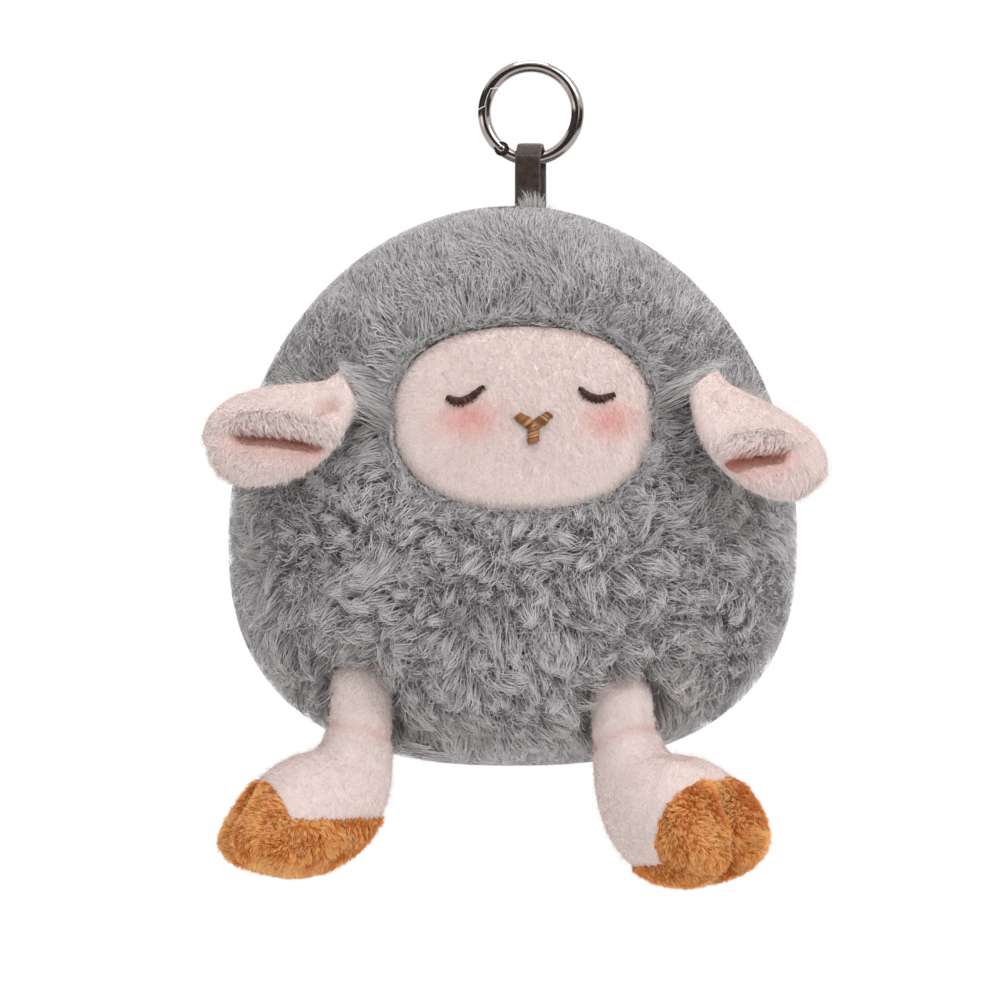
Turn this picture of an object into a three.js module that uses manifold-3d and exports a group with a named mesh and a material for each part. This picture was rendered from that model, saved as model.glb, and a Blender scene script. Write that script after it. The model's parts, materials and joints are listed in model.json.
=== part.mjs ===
// Plush sheep bag charm: a furry stuffed ball hung by a leather loop from a spring-gate ring.
//
// Millimetres, +Z up, -Y towards the viewer. The origin is the inside top of the ring, where a
// hook carries it. Left and right are as the viewer sees them from the front.

import * as THREE from 'three';
import { mergeVertices } from 'three/addons/utils/BufferGeometryUtils.js';
import Module from 'manifold-3d';

// Ring and spring gate. Angles run from +X round the ring, as seen from the front.
const RING_RADIUS = 11;
const WIRE_DIAMETER = 3;
const HINGE_ANGLE = 231;
const LIP_ANGLE = 173;
const TIP_ANGLE = 150;
const TIP_MARGIN_ANGLE = 20;
const KNUCKLE_DIAMETER = 3.4;
const KNUCKLE_THICKNESS = 2.7;
const TONGUE_DIAMETER = 2.9;
const TONGUE_THICKNESS = 1.2;
const CAM_HEIGHT = 1.3;
const METAL_GAP = 0.12;
const RIVET_DIAMETER = 0.9;
const RIVET_HEAD_DIAMETER = 1.6;
const RIVET_HEAD_THICKNESS = 0.3;
const BORE_DIAMETER = 1.24;
const BORE_LENGTH = 4.4;
const BORE_ARC = 28;
const PLUNGER_HEAD_THICKNESS = 0.4;
const PLUNGER_STEM_DIAMETER = 0.36;
const PLUNGER_STEM_LENGTH = 1.6;
const SPRING_WIRE_DIAMETER = 0.18;
const SPRING_TURNS = 6;

// Leather strap, folded over the ring's wire and sewn into the top of the body.
const STRAP_WIDTH = 6;
const STRAP_THICKNESS = 1.2;
const STRAP_OFFSET = -0.8;
const STRAP_FREE_LENGTH = 11.5;
const STRAP_SEAM_DEPTH = 5;
const STRAP_LAYER_GAP = 0.4;
const LOOP_CLEARANCE = 0.3;
const LOOP_TAPER_LENGTH = 6.5;

// Body: an ellipsoid above its widest level and a fuller curve below it, as far as the fur.
const BODY_OFFSET = -4.3;
const BODY_HALF_WIDTH = 66.6;
const BODY_FRONT_DEPTH = 50;
const BODY_BACK_DEPTH = 54;
const BODY_CROWN_HEIGHT = 78;
const BODY_BASE_HEIGHT = 53.1;
const BODY_BASE_POWER = 2.5;
const FUR_THICKNESS = 7;
const SEAM_GAP = 0.3;

// Face panel, let into the fur of the front panel, and its embroidery.
const FACE_OFFSET = 2.4;
const FACE_RISE = 28.2;
const FACE_HALF_WIDTH = 30.2;
const FACE_HALF_HEIGHT = 21.4;
const FACE_POWER = 2.4;
const FACE_RECESS = 3.5;
const FACE_THICKNESS = 3.2;
const STITCH_THICKNESS = 0.9;
const EYE_REACH = 15.3;
const EYE_RISE = 34.7;
const EYE_WIDTH = 8.8;
const EYE_SAG = 2;
const EYE_TILT = 12;
const EYE_STROKE = 1.6;
const EYE_STITCHES = 8;
const STITCH_STEP = 0.4;
const FEATURE_OFFSET = 4.4;
const NOSE_RISE = 27.2;
const NOSE_ARM_LENGTH = 4.4;
const NOSE_ARM_ANGLE = 68;
const NOSE_STEM_LENGTH = 4.2;
const NOSE_STEM_ANGLE = 180;
const NOSE_STROKE = 2;

// Ears: a folded pocket of pile fabric with a lining, turning on the body where it is sewn.
const EAR_RISE = 32;
const LEFT_EAR_INSET = 26.9;
const RIGHT_EAR_INSET = 21.8;
const EAR_LENGTH = 37;
const EAR_HALF_HEIGHT = 13.6;
const EAR_SAG = 4;
const EAR_HALF_THICKNESS = 7.2;
const EAR_WALL = 2;
const EAR_LINING = 1.2;
const EAR_SLIT = 2.6;
const EAR_SLIT_LENGTH = 20;
const EAR_SLIT_DROP = 2.6;
const EAR_SLIT_TILT = 22;
const LEFT_SLIT_TURN = 41;
const RIGHT_SLIT_TURN = 70;
const LEFT_EAR_LIFT = 18;
const RIGHT_EAR_LIFT = 20;
const LEFT_EAR_DROOP = 36;
const RIGHT_EAR_DROOP = 63;
const EAR_NECK_DIAMETER = 9;
const EAR_NECK_DEPTH = 4;
const EAR_NECK_HEIGHT = 2.4;

// Legs: a stuffed sleeve from the hip to the foot, and a cloven hoof sewn to it.
const LEFT_HIP_DROP = 35;
const RIGHT_HIP_DROP = 37.5;
const HIP_DEPTH = 7.5;
const HIP_SWING = 80;
const LEFT_HIP_INSET = 31.2;
const RIGHT_HIP_INSET = 41.4;
const LEFT_TOE_OUT = 75;
const RIGHT_TOE_OUT = 50;
const LEFT_SPLAY = 0;
const RIGHT_SPLAY = 5;
const LEG_RADIUS = 8.4;
const LEG_LENGTH = 12;
const FOOT_LENGTH = 34;
const FOOT_HEIGHT = 33.3;
const FOOT_HALF_WIDTH = 17;
const CLEFT_DEPTH = 4;
const CLEFT_HALF_WIDTH = 4;
const CLEFT_POWER = 4;
const LEG_FABRIC = 2;
const LEG_OPENING_DIAMETER = 8;
const LEFT_SOLE_HEIGHT = 13.5;
const RIGHT_SOLE_HEIGHT = 7;
const TOE_CAP_LENGTH = 22.5;
const TOE_CAP_SLOPE = 4;

// Facets round each form.
const WIRE_FACETS = 12;
const RING_FACETS = 60;
const DISC_FACETS = 28;
const PIN_FACETS = 14;
const BODY_FACETS = 32;
const BODY_RINGS = 17;
const FACE_FACETS = 28;
const STITCH_FACETS = 10;
const EAR_FACETS = 14;
const LEG_FACETS = 16;
const HIP_RINGS = 3;
const COIL_FACETS = 5;
const COIL_STEPS = 8;
const STRAP_STEPS = 36;

// Outlines as shares, from root to tip, of the lengths and half sizes above.
const EAR_REACH_SHARES = [0, 0.12, 0.3, 0.5, 0.7, 0.86, 0.96];
const EAR_HEIGHT_SHARES = [0.36, 0.5, 0.82, 1, 1, 0.8, 0.46];
const EAR_SAG_SHARES = [0.2, 0.8, 1, 0.8, 0.5, 0.3, 0.2];
const EAR_THICKNESS_SHARES = [0.5, 0.58, 0.82, 1, 1, 0.84, 0.5];
const TOP_FORWARD_SHARES = [0.31, 0.4, 0.5, 0.62, 0.735, 0.84, 0.926, 0.98];
const TOP_DOWN_SHARES = [0.06, 0.105, 0.15, 0.21, 0.306, 0.435, 0.57, 0.69];
const SOLE_FORWARD_SHARES = [-0.244, -0.2, -0.06, 0.176, 0.41, 0.66, 0.853, 0.965];
const SOLE_DOWN_SHARES = [0.24, 0.495, 0.75, 0.93, 0.997, 0.99, 0.93, 0.84];
const FOOT_WIDTH_SHARES = [0.6, 0.7, 0.83, 0.94, 1, 0.97, 0.82, 0.5];
const TOE_DOWN_SHARE = 0.77;

const MERGE_DISTANCE = 1e-4;
const UP = new THREE.Vector3(0, 0, 1);

const wasm = await Module();
wasm.setup();

const wireRadius = WIRE_DIAMETER / 2;
const knuckleRadius = KNUCKLE_DIAMETER / 2;
const tongueRadius = TONGUE_DIAMETER / 2;
const rivetRadius = RIVET_DIAMETER / 2;
const ringZ = wireRadius - RING_RADIUS;
const ringSpan = 4 * RING_RADIUS;
const rivetX = RING_RADIUS * Math.cos(radians(HINGE_ANGLE));
const rivetZ = RING_RADIUS * Math.sin(radians(HINGE_ANGLE)) + ringZ;
const slotReach = knuckleRadius + 2 * METAL_GAP;
const boreEnd = slotReach + BORE_LENGTH;
const swingZ = ringZ - RING_RADIUS;
const bodyTopZ = swingZ - STRAP_FREE_LENGTH;
const bodyZ = bodyTopZ - BODY_CROWN_HEIGHT;
const bodySpan = 2 * (BODY_HALF_WIDTH + BODY_CROWN_HEIGHT);
const faceInset = FACE_RECESS + FACE_THICKNESS;

/** An angle in degrees as radians. */
function radians(degrees) {
    return THREE.MathUtils.degToRad(degrees);
}

/** Distance from the rivet to the middle of the wire at an angle round the ring. */
function hingeDistance(angle) {
    return 2 * RING_RADIUS * Math.sin(radians(HINGE_ANGLE - angle) / 2);
}

/** A closed solid of a three.js geometry, with its shared vertices merged. */
function solidOf(geometry) {
    geometry.deleteAttribute('normal');
    geometry.deleteAttribute('uv');
    const merged = mergeVertices(geometry, MERGE_DISTANCE);
    const vertProperties = merged.attributes.position.array;
    const triVerts = Uint32Array.from(merged.index.array);
    return new wasm.Manifold(new wasm.Mesh({ numProp: 3, vertProperties, triVerts }));
}

/** A named mesh of a solid. */
function meshOf(name, solid, material) {
    const { vertProperties, triVerts } = solid.getMesh();
    const geometry = new THREE.BufferGeometry();
    geometry.setAttribute('position', new THREE.BufferAttribute(vertProperties, 3));
    geometry.setIndex(new THREE.BufferAttribute(triVerts, 1));
    geometry.computeVertexNormals();
    const mesh = new THREE.Mesh(geometry, material);
    mesh.name = name;
    return mesh;
}

/** Six times the volume inside faces, negative where they point in. */
function signedVolume(points, faces) {
    const normal = new THREE.Vector3();
    return faces.reduce((sum, [a, b, c]) => {
        normal.crossVectors(points[b], points[c]);
        return sum + normal.dot(points[a]);
    }, 0);
}

/** A closed skin over rings of points between two end points, with its faces pointing out. */
function skinOver(start, rings, end) {
    const sides = rings[0].length;
    const points = [start, ...rings.flat(), end];
    const last = points.length - 1;
    const faces = [];
    for (let side = 0; side < sides; side += 1) {
        const next = (side + 1) % sides;
        faces.push([0, 1 + side, 1 + next]);
        for (let ring = 0; ring < rings.length - 1; ring += 1) {
            const low = 1 + ring * sides;
            const high = low + sides;
            faces.push([low + side, high + side, high + next]);
            faces.push([low + side, high + next, low + next]);
        }
        faces.push([last, last - sides + next, last - sides + side]);
    }
    if (signedVolume(points, faces) < 0) {
        faces.forEach((face) => face.reverse());
    }
    const geometry = new THREE.BufferGeometry().setFromPoints(points);
    geometry.setIndex(faces.flat());
    return geometry;
}

/** Points round an ellipse: its centre plus two half axes turned through a full circle. */
function ellipseRing(centre, halfA, halfB, facets) {
    return Array.from({ length: facets }, (_, index) => {
        const angle = (2 * Math.PI * index) / facets;
        const point = centre.clone().addScaledVector(halfA, Math.cos(angle));
        return point.addScaledVector(halfB, Math.sin(angle));
    });
}

/** A prism of an outline drawn in X and Z, centred on y = 0. */
function frontPrism(outline, thickness) {
    const geometry = new THREE.ExtrudeGeometry(outline, { depth: thickness, bevelEnabled: false });
    return geometry.rotateX(Math.PI / 2).translate(0, thickness / 2, 0);
}

/** A prism of an outline drawn forwards (-Y) and up (+Z), centred on x = 0. */
function sidePrism(outline, thickness) {
    const geometry = new THREE.ExtrudeGeometry(outline, { depth: thickness, bevelEnabled: false });
    const forward = new THREE.Vector3(0, -1, 0);
    const across = new THREE.Vector3(-1, 0, 0);
    const turn = new THREE.Matrix4().makeBasis(forward, UP, across);
    return geometry.translate(0, 0, -thickness / 2).applyMatrix4(turn);
}

/** A geometry moved to where a group stands. */
function standing(geometry, group) {
    group.updateWorldMatrix(true, false);
    return geometry.applyMatrix4(group.matrixWorld);
}

/** A slab across y = 0, as wide as the ring and thick along Y. */
function midSlab(thickness) {
    return solidOf(new THREE.BoxGeometry(ringSpan, thickness, ringSpan));
}

/** A disc along Y about the rivet. */
function hingeDisc(radius, thickness = ringSpan, facets = DISC_FACETS) {
    const disc = new THREE.CylinderGeometry(radius, radius, thickness, facets);
    return solidOf(disc.translate(rivetX, 0, rivetZ));
}

/** The wire of the whole ring. */
function ringWire() {
    const torus = new THREE.TorusGeometry(RING_RADIUS, wireRadius, WIRE_FACETS, RING_FACETS);
    return solidOf(torus.rotateX(Math.PI / 2).translate(0, 0, ringZ));
}

/** The side of the ring, from the rivet up past the nose, that the gate closes. */
function gateSector() {
    const beyondTip = TIP_ANGLE - TIP_MARGIN_ANGLE;
    const outline = new THREE.Shape();
    outline.moveTo(0, ringZ);
    for (const angle of [beyondTip, (HINGE_ANGLE + beyondTip) / 2, HINGE_ANGLE]) {
        const x = ringSpan * Math.cos(radians(angle));
        outline.lineTo(x, ringSpan * Math.sin(radians(angle)) + ringZ);
    }
    return solidOf(frontPrism(outline, ringSpan));
}

/** The gate's share of the wire. Its two end steps are arcs about the rivet, so it can swing. */
function gateRegion(gap) {
    const split = RING_RADIUS + gap - METAL_GAP / 2;
    const innerHalf = new THREE.CylinderGeometry(split, split, ringSpan, RING_FACETS);
    const tipDisc = hingeDisc(hingeDistance(TIP_ANGLE) + gap, ringSpan, RING_FACETS);
    const lipDisc = hingeDisc(hingeDistance(LIP_ANGLE) + gap, ringSpan, RING_FACETS);
    const tip = solidOf(innerHalf.translate(0, 0, ringZ)).intersect(tipDisc);
    return gateSector().intersect(lipDisc.add(tip));
}

/** The rivet's frame, with +X along the gate's spring bore. */
function makeBoreGroup() {
    const group = new THREE.Group();
    group.position.set(rivetX, 0, rivetZ);
    group.rotation.y = Math.PI / 2 - radians(HINGE_ANGLE - BORE_ARC / 2);
    return group;
}

/** A cylinder along the bore between two distances from the rivet. */
function boreCylinder(radius, from, to) {
    const cylinder = new THREE.CylinderGeometry(radius, radius, to - from, PIN_FACETS);
    return cylinder.rotateZ(Math.PI / 2).translate((from + to) / 2, 0, 0);
}

/** The flat on the tongue's end that the plunger bears on when the gate is shut. */
function camCut() {
    const box = new THREE.BoxGeometry(tongueRadius, KNUCKLE_THICKNESS, TONGUE_DIAMETER);
    return solidOf(standing(box.translate(CAM_HEIGHT + tongueRadius / 2, 0, 0), makeBoreGroup()));
}

/** Ring body: the wire without the gate's share, ending in a tongue with a cam flat. */
function makeRingBody(material) {
    const wire = ringWire();
    const pocket = gateRegion(METAL_GAP);
    const shoulders = wire.subtract(pocket).subtract(hingeDisc(knuckleRadius + METAL_GAP));
    const tongueCut = pocket.subtract(hingeDisc(tongueRadius)).add(camCut());
    const tongue = wire.intersect(midSlab(TONGUE_THICKNESS)).subtract(tongueCut);
    const hole = hingeDisc(rivetRadius + METAL_GAP, ringSpan, PIN_FACETS);
    return meshOf('ring_body', shoulders.add(tongue).subtract(hole), material);
}

/** Ring gate: two cheeks over the tongue, a blind bore for the spring and a stepped tip. */
function makeRingGate(material) {
    const knuckle = hingeDisc(knuckleRadius, KNUCKLE_THICKNESS);
    const slot = midSlab(TONGUE_THICKNESS + 2 * METAL_GAP).intersect(hingeDisc(slotReach));
    const hole = hingeDisc(rivetRadius + METAL_GAP, ringSpan, PIN_FACETS);
    const seat = hingeDisc(RIVET_HEAD_DIAMETER / 2 + METAL_GAP);
    const bore = boreCylinder(BORE_DIAMETER / 2, tongueRadius, boreEnd);
    const solid = ringWire()
        .intersect(gateRegion(0))
        .add(knuckle)
        .subtract(slot)
        .subtract(hole)
        .subtract(seat.subtract(midSlab(KNUCKLE_THICKNESS)))
        .subtract(solidOf(standing(bore, makeBoreGroup())));
    return meshOf('ring_gate', solid, material);
}

/** Gate rivet: a pin with a low head at each end, over the gate's cheeks. */
function makeRivet(material) {
    const headRadius = RIVET_HEAD_DIAMETER / 2;
    const seatY = KNUCKLE_THICKNESS / 2 + METAL_GAP / 2;
    const topY = seatY + RIVET_HEAD_THICKNESS;
    const crownRadius = headRadius - RIVET_HEAD_THICKNESS;
    const profile = [
        new THREE.Vector2(0, -topY),
        new THREE.Vector2(crownRadius, -topY),
        new THREE.Vector2(headRadius, -seatY),
        new THREE.Vector2(rivetRadius, -seatY),
        new THREE.Vector2(rivetRadius, seatY),
        new THREE.Vector2(headRadius, seatY),
        new THREE.Vector2(crownRadius, topY),
        new THREE.Vector2(0, topY),
    ];
    const lathe = new THREE.LatheGeometry(profile, PIN_FACETS);
    const mesh = meshOf('gate_rivet', solidOf(lathe), material);
    mesh.position.set(rivetX, 0, rivetZ);
    return mesh;
}

/** Gate plunger: a headed pin whose head bears on the tongue's flat. */
function makePlunger(material) {
    const headStart = tongueRadius + METAL_GAP / 2;
    const headEnd = headStart + PLUNGER_HEAD_THICKNESS;
    const headRadius = BORE_DIAMETER / 2 - METAL_GAP;
    const head = solidOf(boreCylinder(headRadius, headStart, headEnd));
    const stemEnd = headEnd + PLUNGER_STEM_LENGTH;
    const stem = solidOf(boreCylinder(PLUNGER_STEM_DIAMETER / 2, headStart, stemEnd));
    return meshOf('gate_plunger', head.add(stem), material);
}

/** Gate spring: a coil between the plunger's head and the end of the bore. */
function makeSpring(material) {
    const wire = SPRING_WIRE_DIAMETER / 2;
    const coilRadius = BORE_DIAMETER / 2 - METAL_GAP / 2 - wire;
    const headEnd = tongueRadius + METAL_GAP / 2 + PLUNGER_HEAD_THICKNESS;
    const start = headEnd + wire + METAL_GAP / 2;
    const length = boreEnd - METAL_GAP / 2 - wire - start;
    const steps = SPRING_TURNS * COIL_STEPS;
    const rings = Array.from({ length: steps + 1 }, (_, step) => {
        const angle = (2 * Math.PI * step) / COIL_STEPS;
        const outward = new THREE.Vector3(0, Math.cos(angle), Math.sin(angle));
        const centre = outward.clone().multiplyScalar(coilRadius);
        centre.x = start + (length * step) / steps;
        const along = new THREE.Vector3(wire, 0, 0);
        return ellipseRing(centre, outward.multiplyScalar(wire), along, COIL_FACETS);
    });
    const middle = (ring) => ring.reduce((sum, point) => sum.add(point), new THREE.Vector3())
        .divideScalar(ring.length);
    const coil = skinOver(middle(rings[0]), rings, middle(rings.at(-1)));
    return meshOf('gate_spring', solidOf(coil), material);
}

/** The spring and its plunger in the gate's bore. */
function makeGateSpringGroup(material) {
    const group = makeBoreGroup();
    group.add(makeSpring(material), makePlunger(material));
    return group;
}

/** Least radius of the strap's loop that clears the curved wire over the strap's width. */
function loopRadius() {
    const edge = STRAP_WIDTH / 2 + Math.abs(STRAP_OFFSET);
    const eyeRadius = RING_RADIUS - wireRadius;
    const wireRise = eyeRadius - Math.sqrt(eyeRadius ** 2 - edge ** 2);
    return wireRadius + wireRise + LOOP_CLEARANCE;
}

/** The strap's middle line from its front end, over the wire, to its back end. */
function strapRoute() {
    const bend = loopRadius() + STRAP_THICKNESS / 2;
    const layer = (STRAP_THICKNESS + STRAP_LAYER_GAP) / 2;
    const taperZ = swingZ - LOOP_TAPER_LENGTH;
    const endZ = bodyTopZ - STRAP_SEAM_DEPTH;
    const route = new THREE.CurvePath();
    const at = (forward, height) => new THREE.Vector2(forward, height);
    const taper = (side) => [
        at(side * bend, swingZ),
        at(side * bend, (swingZ + taperZ) / 2),
        at(side * layer, (swingZ + taperZ) / 2),
        at(side * layer, taperZ),
    ];
    route.add(new THREE.LineCurve(at(layer, endZ), at(layer, taperZ)));
    route.add(new THREE.CubicBezierCurve(...taper(1).reverse()));
    route.add(new THREE.EllipseCurve(0, swingZ, bend, bend, 0, Math.PI, false));
    route.add(new THREE.CubicBezierCurve(...taper(-1)));
    route.add(new THREE.LineCurve(at(-layer, taperZ), at(-layer, endZ)));
    return route;
}

/** Leather strap: one strip folded over the wire. */
function makeStrap(material) {
    const route = strapRoute();
    const half = STRAP_THICKNESS / 2;
    const sides = [1, -1].map((side) => Array.from({ length: STRAP_STEPS + 1 }, (_, step) => {
        const share = step / STRAP_STEPS;
        const tangent = route.getTangentAt(share);
        const normal = new THREE.Vector2(tangent.y, -tangent.x);
        return route.getPointAt(share).addScaledVector(normal, side * half);
    }));
    const outline = new THREE.Shape([...sides[0], ...sides[1].reverse()]);
    const prism = sidePrism(outline, STRAP_WIDTH).translate(STRAP_OFFSET, 0, 0);
    return meshOf('strap_loop', solidOf(prism), material);
}

/** The slot that the strap's sewn end takes in the top of the body. */
function strapSlot() {
    const depth = 2 * STRAP_SEAM_DEPTH + SEAM_GAP;
    const thickness = 2 * (STRAP_THICKNESS + SEAM_GAP) + STRAP_LAYER_GAP;
    const box = new THREE.BoxGeometry(STRAP_WIDTH + 2 * SEAM_GAP, thickness, depth);
    const bottom = bodyTopZ - STRAP_SEAM_DEPTH - SEAM_GAP;
    return solidOf(box.translate(STRAP_OFFSET, 0, bottom + depth / 2));
}

/** Radius share of the body at a height above its widest level. */
function bodyShare(rise) {
    if (rise >= 0) {
        return Math.sqrt(1 - (rise / BODY_CROWN_HEIGHT) ** 2);
    }
    const drop = -rise / BODY_BASE_HEIGHT;
    return (1 - drop ** BODY_BASE_POWER) ** (1 / BODY_BASE_POWER);
}

/** A point of the body's front surface, from its place across and above the widest level. */
function bodyFront(across, rise) {
    const share = bodyShare(rise);
    const side = across / (BODY_HALF_WIDTH * share);
    const depth = BODY_FRONT_DEPTH * share * Math.sqrt(1 - side ** 2);
    return new THREE.Vector3(BODY_OFFSET + across, -depth, bodyZ + rise);
}

/** The outward normal of the body's crown at a point of its front surface. */
function crownNormal(point) {
    const x = (point.x - BODY_OFFSET) / BODY_HALF_WIDTH ** 2;
    const y = point.y / BODY_FRONT_DEPTH ** 2;
    const z = (point.z - bodyZ) / BODY_CROWN_HEIGHT ** 2;
    return new THREE.Vector3(x, y, z).normalize();
}

/** One level ring of the body, with half sizes that may differ front to back. */
function bodyRing(rise, share, inset) {
    const width = (BODY_HALF_WIDTH - inset) * share;
    return Array.from({ length: BODY_FACETS }, (_, index) => {
        const angle = (2 * Math.PI * index) / BODY_FACETS;
        const side = Math.sin(angle);
        const depth = (side < 0 ? BODY_FRONT_DEPTH : BODY_BACK_DEPTH) - inset;
        const x = BODY_OFFSET + width * Math.cos(angle);
        return new THREE.Vector3(x, depth * share * side, bodyZ + rise);
    });
}

/** The whole body's form, less an inset all round. */
function bodySolid(inset) {
    const crown = BODY_CROWN_HEIGHT - inset;
    const base = BODY_BASE_HEIGHT - inset;
    const basePower = 2 / BODY_BASE_POWER;
    const rings = Array.from({ length: BODY_RINGS }, (_, index) => {
        const angle = (Math.PI * (index + 1)) / (BODY_RINGS + 1);
        const rise = Math.cos(angle);
        if (rise >= 0) {
            return bodyRing(crown * rise, Math.sin(angle), inset);
        }
        return bodyRing(-base * (-rise) ** basePower, Math.sin(angle) ** basePower, inset);
    });
    const top = new THREE.Vector3(BODY_OFFSET, 0, bodyZ + crown);
    const bottom = new THREE.Vector3(BODY_OFFSET, 0, bodyZ - base);
    return solidOf(skinOver(top, rings, bottom));
}

/** Half of space as a box: in front of the seam (side -1) or behind it (side 1). */
function seamSide(side) {
    const box = new THREE.BoxGeometry(bodySpan, bodySpan, 2 * bodySpan);
    return solidOf(box.translate(0, side * (bodySpan + SEAM_GAP) / 2, bodyZ));
}

/** The face's oval, grown by a gap, as a prism through the body's front. */
function facePrism(gap) {
    const power = 2 / FACE_POWER;
    const outline = new THREE.Shape();
    for (let index = 0; index < FACE_FACETS; index += 1) {
        const angle = (2 * Math.PI * index) / FACE_FACETS;
        const across = Math.sign(Math.cos(angle)) * Math.abs(Math.cos(angle)) ** power;
        const up = Math.sign(Math.sin(angle)) * Math.abs(Math.sin(angle)) ** power;
        const x = BODY_OFFSET + FACE_OFFSET + across * (FACE_HALF_WIDTH + gap);
        const z = bodyZ + FACE_RISE + up * (FACE_HALF_HEIGHT + gap);
        if (index === 0) {
            outline.moveTo(x, z);
        } else {
            outline.lineTo(x, z);
        }
    }
    return solidOf(frontPrism(outline, 2 * bodySpan)).intersect(seamSide(-1));
}

/** Where one ear is sewn on: its point, its turning axis and its group. */
function makeEarGroup(side, inset, droop) {
    const root = bodyFront(side * (BODY_HALF_WIDTH - inset), EAR_RISE);
    const normal = crownNormal(root);
    const across = new THREE.Vector3().crossVectors(UP, normal).normalize().multiplyScalar(side);
    const along = new THREE.Vector3().crossVectors(normal, across);
    const group = new THREE.Group();
    group.matrix.makeBasis(across, along, normal);
    group.matrix.multiply(new THREE.Matrix4().makeRotationZ(-side * radians(droop)));
    group.matrix.setPosition(root);
    group.matrix.decompose(group.position, group.quaternion, group.scale);
    return group;
}

/** An ear's neck about its turning axis, or the socket for it when grown by a gap. */
function earNeck(gap) {
    const radius = EAR_NECK_DIAMETER / 2 + gap;
    const height = EAR_NECK_DEPTH + EAR_NECK_HEIGHT + gap;
    const neck = new THREE.CylinderGeometry(radius, radius, height, EAR_FACETS);
    return neck.rotateX(Math.PI / 2).translate(0, 0, EAR_NECK_HEIGHT - height / 2);
}

/** An ear's leaf, less an inset all round, lying off the body along +X of its group. */
function earLeaf(side, lift, inset) {
    const length = EAR_LENGTH - 2 * inset;
    const rings = EAR_REACH_SHARES.map((reachShare, index) => {
        const sag = side * EAR_SAG * EAR_SAG_SHARES[index];
        const centre = new THREE.Vector3(inset + reachShare * length, -sag, 0);
        const height = (EAR_HALF_HEIGHT - inset) * EAR_HEIGHT_SHARES[index];
        const thickness = (EAR_HALF_THICKNESS - inset) * EAR_THICKNESS_SHARES[index];
        const halfHeight = new THREE.Vector3(0, height, 0);
        return ellipseRing(centre, halfHeight, new THREE.Vector3(0, 0, thickness), EAR_FACETS);
    });
    const root = new THREE.Vector3(inset, 0, 0);
    const tip = new THREE.Vector3(inset + length, -side * EAR_SAG * EAR_SAG_SHARES.at(-1), 0);
    return placedLeaf(skinOver(root, rings, tip), lift);
}

/** A leaf's geometry turned off the body's surface and raised onto its neck. */
function placedLeaf(geometry, lift) {
    const raise = EAR_HALF_THICKNESS * EAR_THICKNESS_SHARES[0] + SEAM_GAP;
    const start = EAR_NECK_DIAMETER / 2;
    return solidOf(geometry.rotateY(-radians(lift)).translate(-start, 0, raise));
}

/** The slit across an ear's front that its pocket opens by, level and facing down a little. */
function earSlit(side, lift, turn) {
    const box = new THREE.BoxGeometry(EAR_SLIT_LENGTH, EAR_SLIT, 2 * EAR_HALF_THICKNESS);
    box.translate(0, 0, EAR_HALF_THICKNESS);
    box.rotateX(side * radians(EAR_SLIT_TILT)).rotateZ(side * radians(turn));
    const reach = EAR_NECK_DIAMETER + EAR_WALL + EAR_SLIT_LENGTH / 2;
    box.translate(reach, -side * EAR_SLIT_DROP, 0);
    return placedLeaf(box, lift);
}

/** Everything over the body's surface at an ear, which the leaf stays within. */
function earSpace() {
    const size = 4 * EAR_LENGTH;
    const box = new THREE.BoxGeometry(size, size, size);
    return solidOf(box.translate(0, 0, SEAM_GAP + size / 2));
}

/** One ear: its outer pocket with the neck, and its lining. */
function makeEar(name, side, inset, lift, droop, slitTurn) {
    const group = makeEarGroup(side, inset, droop);
    const slit = earSlit(side, lift, slitTurn);
    const outer = earLeaf(side, lift, 0)
        .subtract(earLeaf(side, lift, EAR_WALL))
        .subtract(slit)
        .intersect(earSpace())
        .add(solidOf(earNeck(0)));
    const lining = earLeaf(side, lift, EAR_WALL + SEAM_GAP)
        .subtract(earLeaf(side, lift, EAR_WALL + SEAM_GAP + EAR_LINING))
        .subtract(slit)
        .subtract(solidOf(earNeck(SEAM_GAP)));
    group.add(meshOf(`${name}_ear_shell`, outer, materials.pile));
    group.add(meshOf(`${name}_ear_lining`, lining, materials.lining));
    return group;
}

/** Where one leg hangs: its group turns with the hip, and the foot's group points the toes. */
function makeLegGroups(side, inset, drop, splay, toeOut) {
    const hip = new THREE.Group();
    hip.position.copy(bodyFront(side * (BODY_HALF_WIDTH - inset), -drop));
    hip.position.y += HIP_DEPTH;
    hip.rotation.y = -side * radians(splay);
    const foot = new THREE.Group();
    foot.rotation.z = side * radians(toeOut);
    hip.add(foot);
    return { hip, foot };
}

/** Everywhere one leg's sleeve passes as it swings forwards from rest, as a cut in the body. */
function hipSweep(hip) {
    const radius = LEG_RADIUS + 2 * SEAM_GAP;
    const far = bodySpan / 2;
    const swing = radians(HIP_SWING);
    const outline = new THREE.Shape();
    outline.moveTo(-radius, 0);
    outline.lineTo(-radius, -far);
    outline.lineTo(far, -far);
    outline.lineTo(far * Math.sin(swing), radius - far * Math.cos(swing));
    outline.absarc(0, 0, radius, swing, Math.PI, false);
    return solidOf(standing(sidePrism(outline, 2 * radius), hip));
}

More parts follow.
